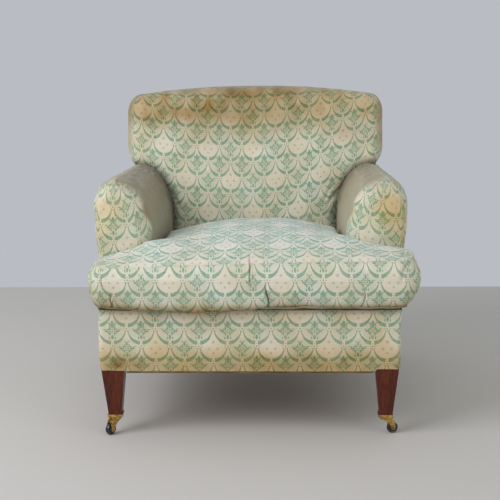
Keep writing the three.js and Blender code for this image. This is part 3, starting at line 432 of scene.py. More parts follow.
def make_cushion():
    """Both halves, with the seams, gathers and folds pushed in along the normals. The strip's cloth is x
    round the corners against height, the upper cloth's is x against the distance run back from the seam."""
    panels = []
    for upper in (True, False):
        points, height, keep, strip_u, run, turn = cushion_half(upper)
        x, y, z = points[..., 0], points[..., 1], points[..., 2]
        normal = facing(points) * (1 if upper else -1)
        inward = np.where(height < 1, np.sqrt(np.clip(1 - height**2, 0, 1)), 0)
        beyond = np.clip(run, 0, 1) * (height >= 1)
        seam = np.exp(-((inward / 0.42) ** 2) - (beyond / 0.0040) ** 2) * ease(0.10, 0.07, y)
        tucks = np.sin(strip_u * 2 * np.pi / TUCK_PITCH + 3 * rumple(strip_u, strip_u, 0.07, 8))
        push = -seam * ((0.0014 if upper else 0.0038) + 0.0008 * tucks)
        pinched = 0
        for line, width, depth in STRIP_CREASES:
            fold = crease(x, z, line, width, depth) * ease(0.03, 0.0, y) * (turn < 0.6)
            push = push + fold
            pinched = pinched + np.clip(-fold / 0.005, 0, 1)
        on_end = ease(0.5, 1.2, turn) * ease(0.0, 0.3, height)
        push = push - 0.0016 * on_end * (1 + np.sin(z * 2 * np.pi / 0.024 + 5 * rumple(y, z, 0.06, 5)))
        push = push + 0.0012 * rumple(x, z + y, 0.060, 21) * ease(0.05, 0.5, height)
        push = push + 0.0016 * rumple(x, z, 0.11, 23) * ease(0.0, 0.4, height) * (height < 1)
        points = points + normal * (push * ease(0.0, 0.12, height))[..., None]
        rim = ease(0.030, 0.004, np.abs(z - CUSHION_BOTTOM)) * ease(0.03, -0.01, y)
        stain = stained(x, z, CUSHION_STAINS)
        patchy = 0.16 * rumple(x, z, 0.13, 31)
        front_tan = np.clip(0.20 + patchy + 0.55 * rim + 0.25 * on_end + stain, 0, 1)
        low_end = 0.28 * on_end * (z < STRIP_LEVEL)
        brown = np.clip(0.55 * rim + low_end + stain + 0.25 * seam * (not upper), 0, 1)
        # Painted sky sheen on the cushion's top: paler and bluer from the front edge back, with less tan
        # under it
        top_painted_sheen = ease(-0.02, 0.10, y) * (0.75 + 0.2 * rumple(x, y, 0.12, 33))
        tucked = ease(0.035, 0.0, CUSHION_BODY_HALF - np.abs(x)) * ease(0.12, 0.17, y)
        strip = keep & ((height[:-1, :-1] + height[1:, 1:]) / 2 < 1)
        strip_cloth = printed(strip_u, z, (-0.054, STRIP_LEVEL), (0.0652, 0.044))
        flat_cloth = printed(x, run, (0.0085, 0.014), (0.0652, 0.0435))
        shade = (0.12 if upper else 0.35) * seam + 0.45 * tucked + 0.85 * pinched
        for cloth, part, tan, painted_sheen in (
            (strip_cloth, strip, front_tan, 0.0),
            (flat_cloth, keep & ~strip, front_tan * (1 - top_painted_sheen), top_painted_sheen),
        ):
            looks = {"brown": brown, "shade": shade, "tan": tan, "painted_sheen": painted_sheen}
            panels.append(Panel(points, cloth, part, not upper, **looks))
    return sew("seat_cushion_cover", panels)


# Arms

def arm_profile(y, nose, foot):
    """Section of the right arm, from the foot outside, up and over to the foot inside: the outer side follows
    the flare, two quarter ellipses meet on the crown, and the inner side is upright. nose runs from 1 in
    front, where the section is smaller, to 0."""
    back = np.clip((y - ARM_FRONT - ARM_NOSE) / (rear_face(ARM_TOP_REAR) - ARM_FRONT - ARM_NOSE), 0, 1)
    top = mix(ARM_TOP_FRONT, ARM_TOP_REAR, back) - ARM_NOSE * nose
    shoulder = top - ARM_SHOULDER_DROP
    inner_shoulder = top - ARM_INNER_DROP + ARM_NOSE * nose / 2
    inner = ARM_INNER + ARM_NOSE * nose

    def outer(z):
        return flare(z) - ARM_NOSE_OUTER * nose

    up = np.linspace(0, 1, 34)[None, :]
    turn = np.linspace(0, np.pi / 2, 20)[None, 1:]
    turn_in = np.linspace(np.pi / 2, 0, 36)[None, 1:]
    down = np.linspace(0, 1, 26)[None, 1:]
    side_z = mix(foot, shoulder, up)
    over_z = shoulder + (top - shoulder) * np.sin(turn)
    over_x = ARM_CROWN + (outer(shoulder) - ARM_CROWN) * np.cos(turn)
    in_z = inner_shoulder + (top - inner_shoulder) * np.sin(turn_in)
    in_x = ARM_CROWN - (ARM_CROWN - inner) * np.cos(turn_in)
    down_z = mix(inner_shoulder, foot, down)
    x = np.concatenate([outer(side_z), over_x, in_x, inner + 0 * down_z], axis=1)
    z = np.concatenate([side_z, over_z, in_z, down_z], axis=1)
    return x, z


ARM_FOOT = 0.300
# Cells of the print on the arms' fronts are set from here, as (across, up) on the cloth
ARM_CLOTH_START = {"left": (0.3010, 0.4620), "right": (0.2900, 0.4740)}
# Gathers over the nose and tension folds inside, as lines on the cloth
ARM_CREASES = {
    "left": [((0.315, 0.640, 0.330, 0.600), 0.0030, 0.0018), ((0.345, 0.655, 0.350, 0.610), 0.0028, 0.0018)],
    "right": [((0.320, 0.650, 0.326, 0.600), 0.0030, 0.0020), ((0.350, 0.650, 0.350, 0.600), 0.0028, 0.0018)],
}


def make_arm(side):
    """Front face, nose and length of one arm as a single grid, from the middle of the front face outwards.
    On the cloth, a point lies at its place on the front face plus the distance run back from it."""
    face = np.linspace(0, 1, 9)[:, None]
    nose_turn = np.linspace(0, np.pi / 2, 18)[1:, None]
    length = np.linspace(0, 1, 84)[1:, None] ** 1.1
    edge_x, edge_z = arm_profile(np.array([[ARM_FRONT]]), np.array([[1.0]]), ARM_FOOT)
    core_x = np.full_like(edge_x, ARM_CROWN)
    core_z = np.clip(edge_z, ARM_FOOT, ARM_TOP_FRONT - ARM_NOSE - 0.045)
    face_x, face_z = mix(core_x, edge_x, face), mix(core_z, edge_z, face)
    swell = 0.005 * (1 - face**2) * ease(0.455, 0.485, face_z)
    face_y = ARM_FRONT - swell
    nose_y = ARM_FRONT + ARM_NOSE * (1 - np.cos(nose_turn))
    nose_x, nose_z = arm_profile(nose_y, 1 - np.sin(nose_turn), ARM_FOOT)
    start = ARM_FRONT + ARM_NOSE
    flat_y = mix(start, rear_face(ARM_TOP_REAR), length)
    long_x, long_z = arm_profile(flat_y, 0 * flat_y, ARM_FOOT)
    long_y = mix(start, rear_face(long_z) - COVER_GAP, length)
    x = np.concatenate([face_x, nose_x, long_x])
    y = np.concatenate([face_y, nose_y + 0 * nose_x, long_y])
    z = np.concatenate([face_z, nose_z, long_z])
    under = ease(start - 0.004, start + 0.004, y) * ease(OUTSIDE_ARM_TOP + 0.004, OUTSIDE_ARM_TOP - 0.004, z)
    x = np.where(x > ARM_CROWN, x - 0.004 * under, x)
    points = stacked(x, y, z)

    edge = stacked(edge_x[0], edge_z[0])
    tangent = np.gradient(edge, axis=0)
    tangent = tangent / np.linalg.norm(tangent, axis=-1, keepdims=True)
    outward = stacked(tangent[:, 1], -tangent[:, 0])
    run = lengths_along(points, 0)
    beyond = np.maximum(run - run[len(face) - 1], 0)
    flat = stacked(x, z)
    flat[len(face):] = edge[None]
    cloth = flat + outward[None] * beyond[..., None]
    u, v = cloth[..., 0], cloth[..., 1]

    inside = x < ARM_CROWN
    cover = ease(0.460, 0.500, z)
    push = 0.0016 * rumple(u, v, 0.10, 41 + SIDES[side]) * ease(0.0, 0.03, y - ARM_FRONT)
    for line, width, depth in ARM_CREASES[side]:
        push = push + crease(u, v, line, width, depth) * ease(0.0, 0.01, beyond)
    pleats = ease(0.008, 0.03, beyond) * (1 - ease(0.05, 0.085, beyond)) * blob(x, z, 0.30, 0.60, 0.05, 0.05)
    push = push + 0.0015 * pleats * np.sin(u * 2 * np.pi / 0.013)
    tuck = ease(0.035, 0.0, BACK_FRONT + BACK_FRONT_RAKE * (z - BORDER_TOP) - y)
    push = push - 0.004 * tuck * inside
    points = points + facing(points) * push[..., None] * cover[..., None]

    limit = 0.052 if side == "left" else 0.068
    back_way = ease(limit - 0.012, limit + 0.022, beyond + 0.010 * rumple(u, v, 0.06, 51))
    top_way = 0.35 * ease(0.575, 0.600, z) * ease(0.020, 0.060, beyond)
    worn_inside = back_way * (1 - 0.45 * ease(0.560, 0.600, z))
    worn = np.clip(np.where(inside, worn_inside, 0.40 * ease(0.06, 0.16, beyond)) + top_way, 0, 1)
    top_soil = ease(0.575, 0.600, z) * (0.35 + 0.3 * rumple(x, y, 0.09, 61))
    brown = np.clip(0.25 * worn * ease(0.30, 0.55, y) + 0.55 * top_soil, 0, 1)
    yellow = 0.85 if side == "right" else 0.35
    spots = blob(x, z, 0.345, 0.545, 0.040, 0.050) * yellow * (1 - ease(0.0, 0.06, beyond))
    low_front = blob(x, z, 0.375, 0.470, 0.020, 0.060)
    tan = np.clip(0.35 + spots + 0.4 * low_front + 0.15 * rumple(x, z, 0.08, 71), 0, 1)
    du, dv = ARM_CLOTH_START[side]
    cloth = (cloth - np.array([du, dv])) * np.array([SIDES[side], 1])
    points = points * np.array([SIDES[side], 1, 1])
    # Painted shade on the left arm's inside, which faces away from the window lamp: darker where the print is
    # worn
    left_inside_painted_shade = 0.30 * worn * inside * (side == "left")
    shade = 0.5 * blob(y, z, rear_face(0.45) - 0.14, 0.50, 0.06, 0.14) * inside + left_inside_painted_shade
    arm = Panel(points, cloth, None, side == "right", worn=worn, brown=brown, tan=tan, shade=shade)
    return sew(f"arm_covering_{side}", [arm])


# Back

BACK_FOOT = 0.300
BACK_SEAM_TURN = 0.52
# Points of a level line along each side and round each front corner
SIDE_POINTS = 7
CORNER_POINTS = 12
# Drag lines from the arms and folds at the roll's ends, as lines on the cloth
BACK_CREASES = [
    ((0.205, 0.175, 0.262, 0.262), 0.0042, 0.0060),
    ((0.225, 0.165, 0.285, 0.250), 0.0040, 0.0050),
    ((0.185, 0.180, 0.236, 0.250), 0.0045, 0.0035),
    ((-0.205, 0.170, -0.255, 0.235), 0.0045, 0.0040),
    ((0.300, 0.452, 0.385, 0.446), 0.0022, 0.0040),
    ((0.310, 0.425, 0.395, 0.428), 0.0024, 0.0022),
    ((-0.372, 0.447, -0.318, 0.440), 0.0028, 0.0020),
]
# Brown stains, as strength, middle and reaches
BACK_STAINS = [
    (0.55, -0.205, 0.735, 0.055, 0.026),
    (0.50, -0.080, 0.745, 0.075, 0.038),
    (0.60, -0.020, 0.795, 0.060, 0.018),
    (0.35, 0.115, 0.800, 0.050, 0.012),
    (0.25, -0.140, 0.665, 0.060, 0.022),
    (0.22, 0.010, 0.665, 0.040, 0.020),
    (0.35, 0.262, 0.690, 0.040, 0.026),
    (0.35, -0.310, 0.725, 0.030, 0.020),
]


def back_width(z):
    """Half width: narrow below the arms' tops, then out to its full width along a quarter sine."""
    return mix(BACK_HALF_LOW, BACK_HALF, quarter_sine(ARM_TOP_REAR, ARM_TOP_REAR + BACK_FLARE, z))


def bow(x, z):
    """How far a level line drops at x: the top's arch, by the power 2.2 of x, faded out down to the arms."""
    lift = np.clip((z - ARM_TOP_REAR) / (BACK_TOP - ARM_TOP_REAR), 0, 1)
    return lift * BACK_BOW * (np.abs(x) / BACK_HALF) ** 2.2


def back_ring(z, roll, rear):
    """Level line round the front of the back, or along its rear: rear edge, side, round corner, swelling
    front, and the same again. roll goes from 0 to 1 over the top, drawing front, sides and rear in."""
    wide = back_width(z) - BACK_TOP_ROUND * roll
    front = BACK_FRONT + BACK_FRONT_RAKE * (z - BORDER_TOP) + BACK_TOP_ROLL * roll
    flat = wide - BACK_CORNER
    turn = np.linspace(0, np.pi / 2, CORNER_POINTS)[None, :]
    side = np.linspace(0, 1, SIDE_POINTS + 1)[None, :-1]
    across = np.linspace(-1, 1, 168)[None, 1:-1]
    corner_x = wide - BACK_CORNER * (1 - np.sin(turn))
    corner_y = front + BACK_CORNER * (1 - np.cos(turn))
    middle_x = flat * across
    middle_y = front - BACK_SWELL * (1 - roll) * (1 - across**2)
    side_x = wide + 0 * side
    x = np.concatenate([-side_x, -corner_x[:, ::-1], middle_x, corner_x, side_x], axis=1)
    height = z - bow(x, z)
    behind = rear_face(height) - COVER_GAP - BACK_TOP_ROUND * roll
    if rear:
        y = behind
    else:
        left = mix(behind[:, :SIDE_POINTS], front + BACK_CORNER, side)
        right = mix(front + BACK_CORNER, behind[:, -SIDE_POINTS:], side + 1 / SIDE_POINTS)
        y = np.concatenate([left, corner_y[:, ::-1], middle_y, corner_y, right], axis=1)
    return stacked(x, y, height)


def inside_arm(points):
    """Distance of each point inside the arm's form, negative outside: that of the section's nearest point."""
    flat = points.reshape(-1, 3)
    y = np.array([[rear_face(0.45) - 0.1]])
    edge_x, edge_z = arm_profile(y, 0 * y, 0.2)
    edge_x, edge_z = edge_x[0, ::2], edge_z[0, ::2]
    away_x = np.abs(flat[:, :1]) - edge_x[None]
    away_z = flat[:, 2:] - edge_z[None]
    nearest = np.sqrt((away_x**2 + away_z**2).min(axis=1))
    over = np.interp(np.abs(flat[:, 0]), edge_x[::-1], edge_z[::-1])
    lies_in = (np.abs(flat[:, 0]) > ARM_INNER) & (flat[:, 2] < over)
    return np.where(lies_in, nearest, -nearest).reshape(points.shape[:-1])


def make_back():
    """Front, roll and top up to its middle line, then the rear of the roll down over the outside back."""
    roll_start = BACK_TOP - BACK_TOP_ROLL
    up = np.linspace(BACK_FOOT, roll_start, 104)[:, None]
    turn = np.linspace(0, np.pi / 2, 18)[1:, None]
    over = roll_start + BACK_TOP_ROLL * np.sin(turn)
    front = np.concatenate([back_ring(up, 0 * up, False), back_ring(over, 1 - np.cos(turn), False)])
    rear_turn = np.linspace(np.pi / 2, 0.09, 14)[:, None]
    rear_z = roll_start + BACK_TOP_ROLL * np.sin(rear_turn)
    rear = back_ring(rear_z, 1 - np.cos(rear_turn), True)
    flap_z = roll_start + np.linspace(0.002, -0.036, 8)[:, None]
    flap = back_ring(flap_z, 0 * flap_z, True) + np.array([0, 0.0016, 0])
    rear = np.concatenate([rear, flap])
    edge_front, edge_rear = front[-1], rear[0]
    ridge = (edge_front + edge_rear) / 2
    inward = np.clip(ridge[:, 0], -BACK_HALF + 0.048, BACK_HALF - 0.048)
    rising_x = ridge[:, 0] + np.arange(len(ridge)) * 1e-9
    ridge = stacked(inward, np.interp(inward, rising_x, ridge[:, 1]), BACK_TOP - bow(inward, BACK_TOP))
    cap = np.linspace(0, 1, 6)[1:, None, None]
    front = np.concatenate([front, mix(edge_front[None], ridge[None], cap)])
    rear = np.concatenate([mix(edge_rear[None], ridge[None], cap)[::-1], rear])

    run_across = lengths_along(front, 1)
    middle = run_across.shape[1] // 2
    u = run_across - run_across[:, middle:middle + 1]
    v = lengths_along(front, 0)
    x, z = front[..., 0], front[..., 2]
    depth = inside_arm(front)
    near_arm = np.exp(-((np.minimum(depth, 0) / 0.016) ** 2)) * ease(0.66, 0.60, z)
    seam_at = len(front[0]) - SIDE_POINTS - CORNER_POINTS * BACK_SEAM_TURN
    column = np.arange(len(front[0]))[None, :]
    seam = sum(np.exp(-(((column - at) / 1.1) ** 2)) for at in (seam_at, len(front[0]) - 1 - seam_at))
    push = 0.0022 * rumple(u, v, 0.17, 81) + 0.0009 * rumple(u, v, 0.06, 82)
    push = push - 0.0035 * seam * ease(0.585, 0.62, z) - 0.007 * near_arm
    push = push + 0.0012 * seam * np.sin(v * 2 * np.pi / 0.014)
    for line, width, how_deep in BACK_CREASES:
        push = push + crease(u, v, line, width, how_deep)
    push = push * (0.35 + 0.65 * ease(0.0, 0.06, 0.36 - np.abs(x)))
    front = front + facing(front) * push[..., None]
    rear_run = v[-1][None] + lengths_along(rear, 0)
    rear[0] = front[-1]

    upper = ease(0.640, 0.775, z + 0.020 * rumple(x, z, 0.12, 91))
    brown = 0.55 * upper * (1 - 0.45 * ease(0.05, 0.33, x)) * (1 + 0.35 * rumple(x, z, 0.05, 93))
    brown = np.clip(brown + 0.7 * stained(x, z, BACK_STAINS), 0, 1)
    tan = np.clip(0.30 + 0.45 * upper + 0.16 * rumple(x, z, 0.11, 95), 0, 1)
    worn = 0.45 * ease(0.775, 0.812, z) + 0.75 * ease(0.345, 0.366, np.abs(x)) * ease(0.60, 0.64, z)
    shade = near_arm * 0.9
    keep = (depth[:-1, :-1] < 0.009) | (z[:-1, :-1] > ARM_TOP_FRONT + 0.01)
    cream, cell = (-0.006, 0.3527), (0.0648, 0.0456)
    lifted = 0.04 * u + 0.38 * u**2
    cloth = printed(u, v - lifted, cream, cell)
    rear_cloth = printed(u[-1] + 0 * rear_run, rear_run - lifted[-1], cream, cell)
    panels = [
        Panel(front, cloth, keep, brown=brown, tan=tan, worn=worn, shade=shade),
        Panel(rear, rear_cloth, brown=0.45, tan=0.8, worn=0.45),
    ]
    return sew("inside_back_covering", panels)


# Border, outside arms and outside back: single cloths tacked flat

# Brown stains on the border, as strength, middle and reaches
BORDER_STAINS = [
    (0.25, 0.11, 0.185, 0.17, 0.025),
    (0.75, -0.315, 0.186, 0.013, 0.012),
    (0.30, -0.3, 0.19, 0.05, 0.02),
]
OUTSIDE_SPACING = 0.008


def make_border():
    """Front border: returns, round corners and face along one path, with a slightly uneven lower edge that
    rides up over the tops of the legs."""
    turn = np.linspace(0, np.pi / 2, 9)
    corner = BORDER_CORNER
    right_x = SEAT_HALF - corner + corner * np.sin(turn)
    right_y = corner - corner * np.cos(turn)
    face_x = np.linspace(-SEAT_HALF + corner, SEAT_HALF - corner, 200)[1:-1]
    back_y = np.linspace(corner, BORDER_RETURN, 4)[1:]
    side_x = SEAT_HALF + 0 * back_y
    path_x = np.concatenate([-side_x, -right_x[::-1], face_x, right_x, side_x])
    path_y = np.concatenate([back_y[::-1], right_y[::-1], 0 * face_x, right_y, back_y])
    share = np.linspace(0, 1, 44)[:, None]
    over_legs = 0.0045 * ease(0.298, 0.306, path_x) + 0.0012 * ease(-0.296, -0.304, path_x)
    low = BORDER_BOTTOM + over_legs + 0.0008 * rumple(path_x, path_x, 0.03, 101)
    high = BORDER_TOP - 0.0015 * np.abs(rumple(path_x, path_x, 0.09, 102))
    z = mix(low, high, share)
    x, y = path_x + 0 * z, path_y + 0 * z
    u = np.concatenate([[0], np.cumsum(np.hypot(np.diff(path_x), np.diff(path_y)))])
    u = u - u[-1] / 2 + 0 * z
    points = stacked(x, y, z)
    pull = np.sin(u * 2 * np.pi / 0.034 + 2 * rumple(u, u, 0.1, 103)) * ease(0.09, 0.0, share)
    push = 0.0009 * rumple(u, z, 0.12, 104) - 0.0009 * pull
    push = push + 0.0016 * ease(0.0, 0.1, share) * ease(1.0, 0.85, share)
    points = points + facing(points) * push[..., None]
    low_dirt = ease(0.245, 0.185, z + 0.018 * rumple(x, z, 0.09, 105))
    tan = 0.42 + 0.5 * low_dirt + 0.18 * rumple(x, z, 0.10, 106)
    brown = np.clip(0.28 * low_dirt + stained(x, z, BORDER_STAINS), 0, 1)
    shade = 0.4 * ease(BORDER_TOP - 0.014, BORDER_TOP, z)
    cloth = printed(u, z, (0.052, 0.228), (0.069, 0.043))
    border = Panel(points, cloth, tan=np.clip(tan, 0, 1), brown=brown, shade=shade)
    return sew("front_border_ticking", [border])


def make_outside_arm(side):
    """Side cloth from the border to under the arm's roll, on the flare, with the corner in front of the arm
    left out."""
    nose_end = ARM_FRONT + ARM_NOSE
    y_lines = grid_lines((BORDER_RETURN, nose_end, SEAT_DEPTH), [(0, 0)] * 3, OUTSIDE_SPACING)
    z_lines = grid_lines((BORDER_BOTTOM, BORDER_TOP, OUTSIDE_ARM_TOP), [(0, 0)] * 3, OUTSIDE_SPACING)
    even_y, z = np.meshgrid(y_lines, z_lines)
    back = (even_y - y_lines[0]) / (y_lines[-1] - y_lines[0])
    leaning = mix(nose_end, rear_face(z) - COVER_GAP / 2, (even_y - nose_end) / (SEAT_DEPTH - nose_end))
    y = np.where(even_y > nose_end, leaning, even_y)
    x = flare(z) - 0.0004 + 0 * y
    points = stacked(x, y, z)
    hem = ease(OUTSIDE_ARM_TOP - 0.010, OUTSIDE_ARM_TOP, z)
    pull = np.sin(y * 2 * np.pi / 0.030 + 2 * rumple(y, y, 0.08, 111)) * (ease(0.19, 0.17, z) + hem * 0.5)
    push = 0.0010 * rumple(y, z, 0.15, 112 + SIDES[side]) - 0.0008 * pull - 0.0016 * hem
    points = points + np.array([1.0, 0, 0]) * push[..., None]
    keep = (z[:-1, :-1] < BORDER_TOP - 0.001) | (even_y[:-1, :-1] > nose_end - 0.001)
    tan = 0.5 + 0.4 * ease(0.24, 0.18, z) + 0.15 * rumple(y, z, 0.12, 113)
    brown = 0.25 * ease(0.22, 0.17, z) + 0.30 * blob(y, z, 0.62, 0.24, 0.09, 0.05) + 0.1 * back
    cloth = stacked((y - 0.02) * SIDES[side], z)
    points = points * np.array([SIDES[side], 1, 1])
    panel = Panel(points, cloth, keep, side == "left", tan=np.clip(tan, 0, 1), brown=brown, worn=0.12)
    return sew(f"outside_arm_ticking_{side}", [panel])


def outside_back_half(z):
    """Half width of the outside back: the arm's flare, then its roll, then the back's own width."""
    shoulder = ARM_TOP_REAR - ARM_SHOULDER_DROP
    climb = np.clip((z - shoulder) / ARM_SHOULDER_DROP, 0, 1)
    roll = ARM_CROWN + (flare(shoulder) - ARM_CROWN) * np.sqrt(1 - climb**2)
    return np.where(z < shoulder, flare(z), np.maximum(roll, back_width(z)))


def make_outside_back():
    """Rear cloth on the raked rear face, from the rear rail to under the top roll."""
    z = np.linspace(BORDER_BOTTOM, BACK_COVER_TOP, 90)[:, None]
    share = np.linspace(-1, 1, 110)[None, :]
    x = outside_back_half(z) * share
    x = x * (1 - 0.018 * ease(BACK_COVER_TOP - 0.030, BACK_COVER_TOP, z))
    z = z + 0 * x
    y = rear_face(z)
    rim = ease(0.94, 1.0, np.abs(share)) + ease(BACK_COVER_TOP - 0.012, BACK_COVER_TOP, z)
    slack = (1 - share**2) * np.sin(np.pi * np.clip((z - 0.16) / 0.62, 0, 1))
    y = y - 0.0008 * np.clip(rim, 0, 1) + 0.0024 * slack + 0.0006 * rumple(x, z, 0.16, 121)
    points = stacked(x, y, z)
    tan = 0.45 + 0.35 * ease(0.26, 0.18, z) + 0.3 * ease(0.68, 0.76, z) + 0.15 * rumple(x, z, 0.14, 122)
    brown = 0.35 * ease(0.70, 0.78, z) + 0.25 * ease(0.21, 0.17, z) + 0.3 * blob(x, z, 0.19, 0.30, 0.07, 0.05)
    cloth = stacked(-x, z)
    panel = Panel(points, cloth, None, True, tan=np.clip(tan, 0, 1), brown=np.clip(brown, 0, 1), worn=0.08)
    return sew("outside_back_ticking", [panel])


cushion = make_cushion()
back = make_back()
arms = {side: make_arm(side) for side in SIDES}
border = make_border()
outside_arms = {side: make_outside_arm(side) for side in SIDES}
outside_back = make_outside_back()


# Materials

def linear(code):
    """An sRGB hex code as linear light, with alpha 1."""
    parts = [int(code[i:i + 2], 16) / 255 for i in (1, 3, 5)]
    return tuple(c / 12.92 if c <= 0.04045 else ((c + 0.055) / 1.055) ** 2.4 for c in parts) + (1.0,)


def add(tree, kind, *values, out=0, names=None, **settings):
    """Adds a node, given by its type and, after a space, its operation, and sets its settings. Gives its
    inputs values or links, in order or by name, and returns an output."""
    kind, *operation = kind.split()
    made = tree.nodes.new("ShaderNode" + kind)
    if operation:
        made.operation = operation[0]
    for setting, value in settings.items():
        setattr(made, setting, value)
    for place, value in [*enumerate(values), *(names or {}).items()]:
        if isinstance(value, bpy.types.NodeSocket):
            tree.links.new(value, made.inputs[place])
        elif value is not None:
            made.inputs[place].default_value = value
    return made.outputs[out] if made.outputs else None


def layered(tree, base, *layers, way="MIX"):
    """Colours laid over a base in turn, each given with its share before it."""
    for share, colour in layers:
        base = add(tree, "Mix", names={0: share, 6: base, 7: colour}, data_type="RGBA", blend_type=way, out=2)
    return base


def surface(name, draw, *looks):
    """A node material. draw adds its nodes to the tree and returns its shader's inputs, by name."""
    material = bpy.data.materials.new(name)
    material.use_nodes = True
    tree = material.node_tree
    tree.nodes.clear()
    add(tree, "OutputMaterial", add(tree, "BsdfPrincipled", names=draw(tree, *looks)))
    return material


def trellis_cell(tree, place):
    """One cell of the print, its crossing at the origin. The cloth is folded into the cell by wrapping it at
    the repeat, and halved by the absolute value of x. Every motif is a distance: ovals, and what one leaves
    of another. Returns the lattice, the two flowers, the sprigs and the cell's pale tint."""
    x, y = [add(tree, "SeparateXYZ", place, out=i) for i in (0, 1)]
    spot = add(tree, "CombineXYZ", add(tree, "Math ABSOLUTE", x), y, 0.0)

    def disc(middle, radius, edge=0.0006):
        gap = add(tree, "VectorMath DISTANCE", spot, (*middle, 0.0), out="Value")
        return add(tree, "MapRange", gap, radius - edge, radius + edge, 1.0, 0.0)

    def oval(middle, wide, tall):
        gap = add(tree, "VectorMath SUBTRACT", spot, (*middle, 0.0))
        gap = add(tree, "VectorMath MULTIPLY", gap, (1 / wide, 1 / tall, 0.0))
        gap = add(tree, "VectorMath LENGTH", gap, out="Value")
        soft = 0.0005 / min(wide, tall)
        return add(tree, "MapRange", gap, 1 - soft, 1 + soft, 1.0, 0.0)

    def cut(shape, *bites):
        for bite in bites:
            shape = add(tree, "Math SUBTRACT", shape, bite, use_clamp=True)
        return shape

    def together(shape, *others):
        for other in others:
            shape = add(tree, "Math MAXIMUM", shape, other)
        return shape

    def ring(middle, radius, width):
        return cut(disc(middle, radius + width / 2, 0.0004), disc(middle, radius - width / 2, 0.0004))

    leaf = cut(oval((0.0, -0.0030), 0.0306, 0.0372), oval((0.0, -0.0004), 0.0292, 0.0302))
    leaf = add(tree, "Math MULTIPLY", leaf, add(tree, "MapRange", y, -0.0040, -0.0015, 1.0, 0.0))
    leaf = cut(leaf, oval((0.0, -0.0405), 0.0036, 0.0115))
    knot = (CELL_WIDE / 2, 0.0)
    away = add(tree, "VectorMath SUBTRACT", spot, (*knot, 0.0))
    away_x, away_y = [add(tree, "SeparateXYZ", away, out=i) for i in (0, 1)]
    petals = add(tree, "Math MULTIPLY", add(tree, "Math ARCTAN2", away_y, away_x), 8.0)
    petals = add(tree, "MapRange", add(tree, "Math COSINE", petals), -0.1, 0.5, 0.0, 1.0)
    petals = add(tree, "Math MULTIPLY", ring(knot, 0.0064, 0.0022), petals)
    lattice = cut(leaf, disc(knot, 0.0048), disc((0.0, -CELL_TALL), 0.0048))
    lattice = together(lattice, disc(knot, 0.0019), petals)

    eye = (0.0, -0.0060)
    flower = together(ring(eye, 0.0043, 0.0016), disc(eye, 0.0016), oval((0.0118, -0.0060), 0.0052, 0.0023),
                      oval((0.0, -0.0205), 0.0027, 0.0058),
                      cut(disc((0.0080, 0.0014), 0.0048), disc((0.0106, 0.0040), 0.0044)),
                      cut(disc((0.0080, -0.0132), 0.0046), disc((0.0106, -0.0158), 0.0042)),
                      cut(disc((0.0176, -0.0040), 0.0040), disc((0.0190, -0.0056), 0.0036)),
                      oval((0.0064, -0.0228), 0.0015, 0.0034))
    small_bud = together(flower, oval((0.0, 0.0066), 0.0027, 0.0056), disc((0.0046, 0.0118), 0.0017))
    tall_bud = together(flower, oval((0.0, 0.0102), 0.0037, 0.0092),
                        cut(disc((0.0092, 0.0096), 0.0056), disc((0.0120, 0.0084), 0.0056)))
    sprigs = together(disc((0.0, 0.0105), 0.0034, 0.0010), disc((0.0098, -0.0065), 0.0029, 0.0014),
                      disc((0.0, -0.0172), 0.0028, 0.0012))
    tint = disc((0.0, -0.0045), 0.0250, 0.0020)
    return lattice, small_bud, tall_bud, sprigs, tint


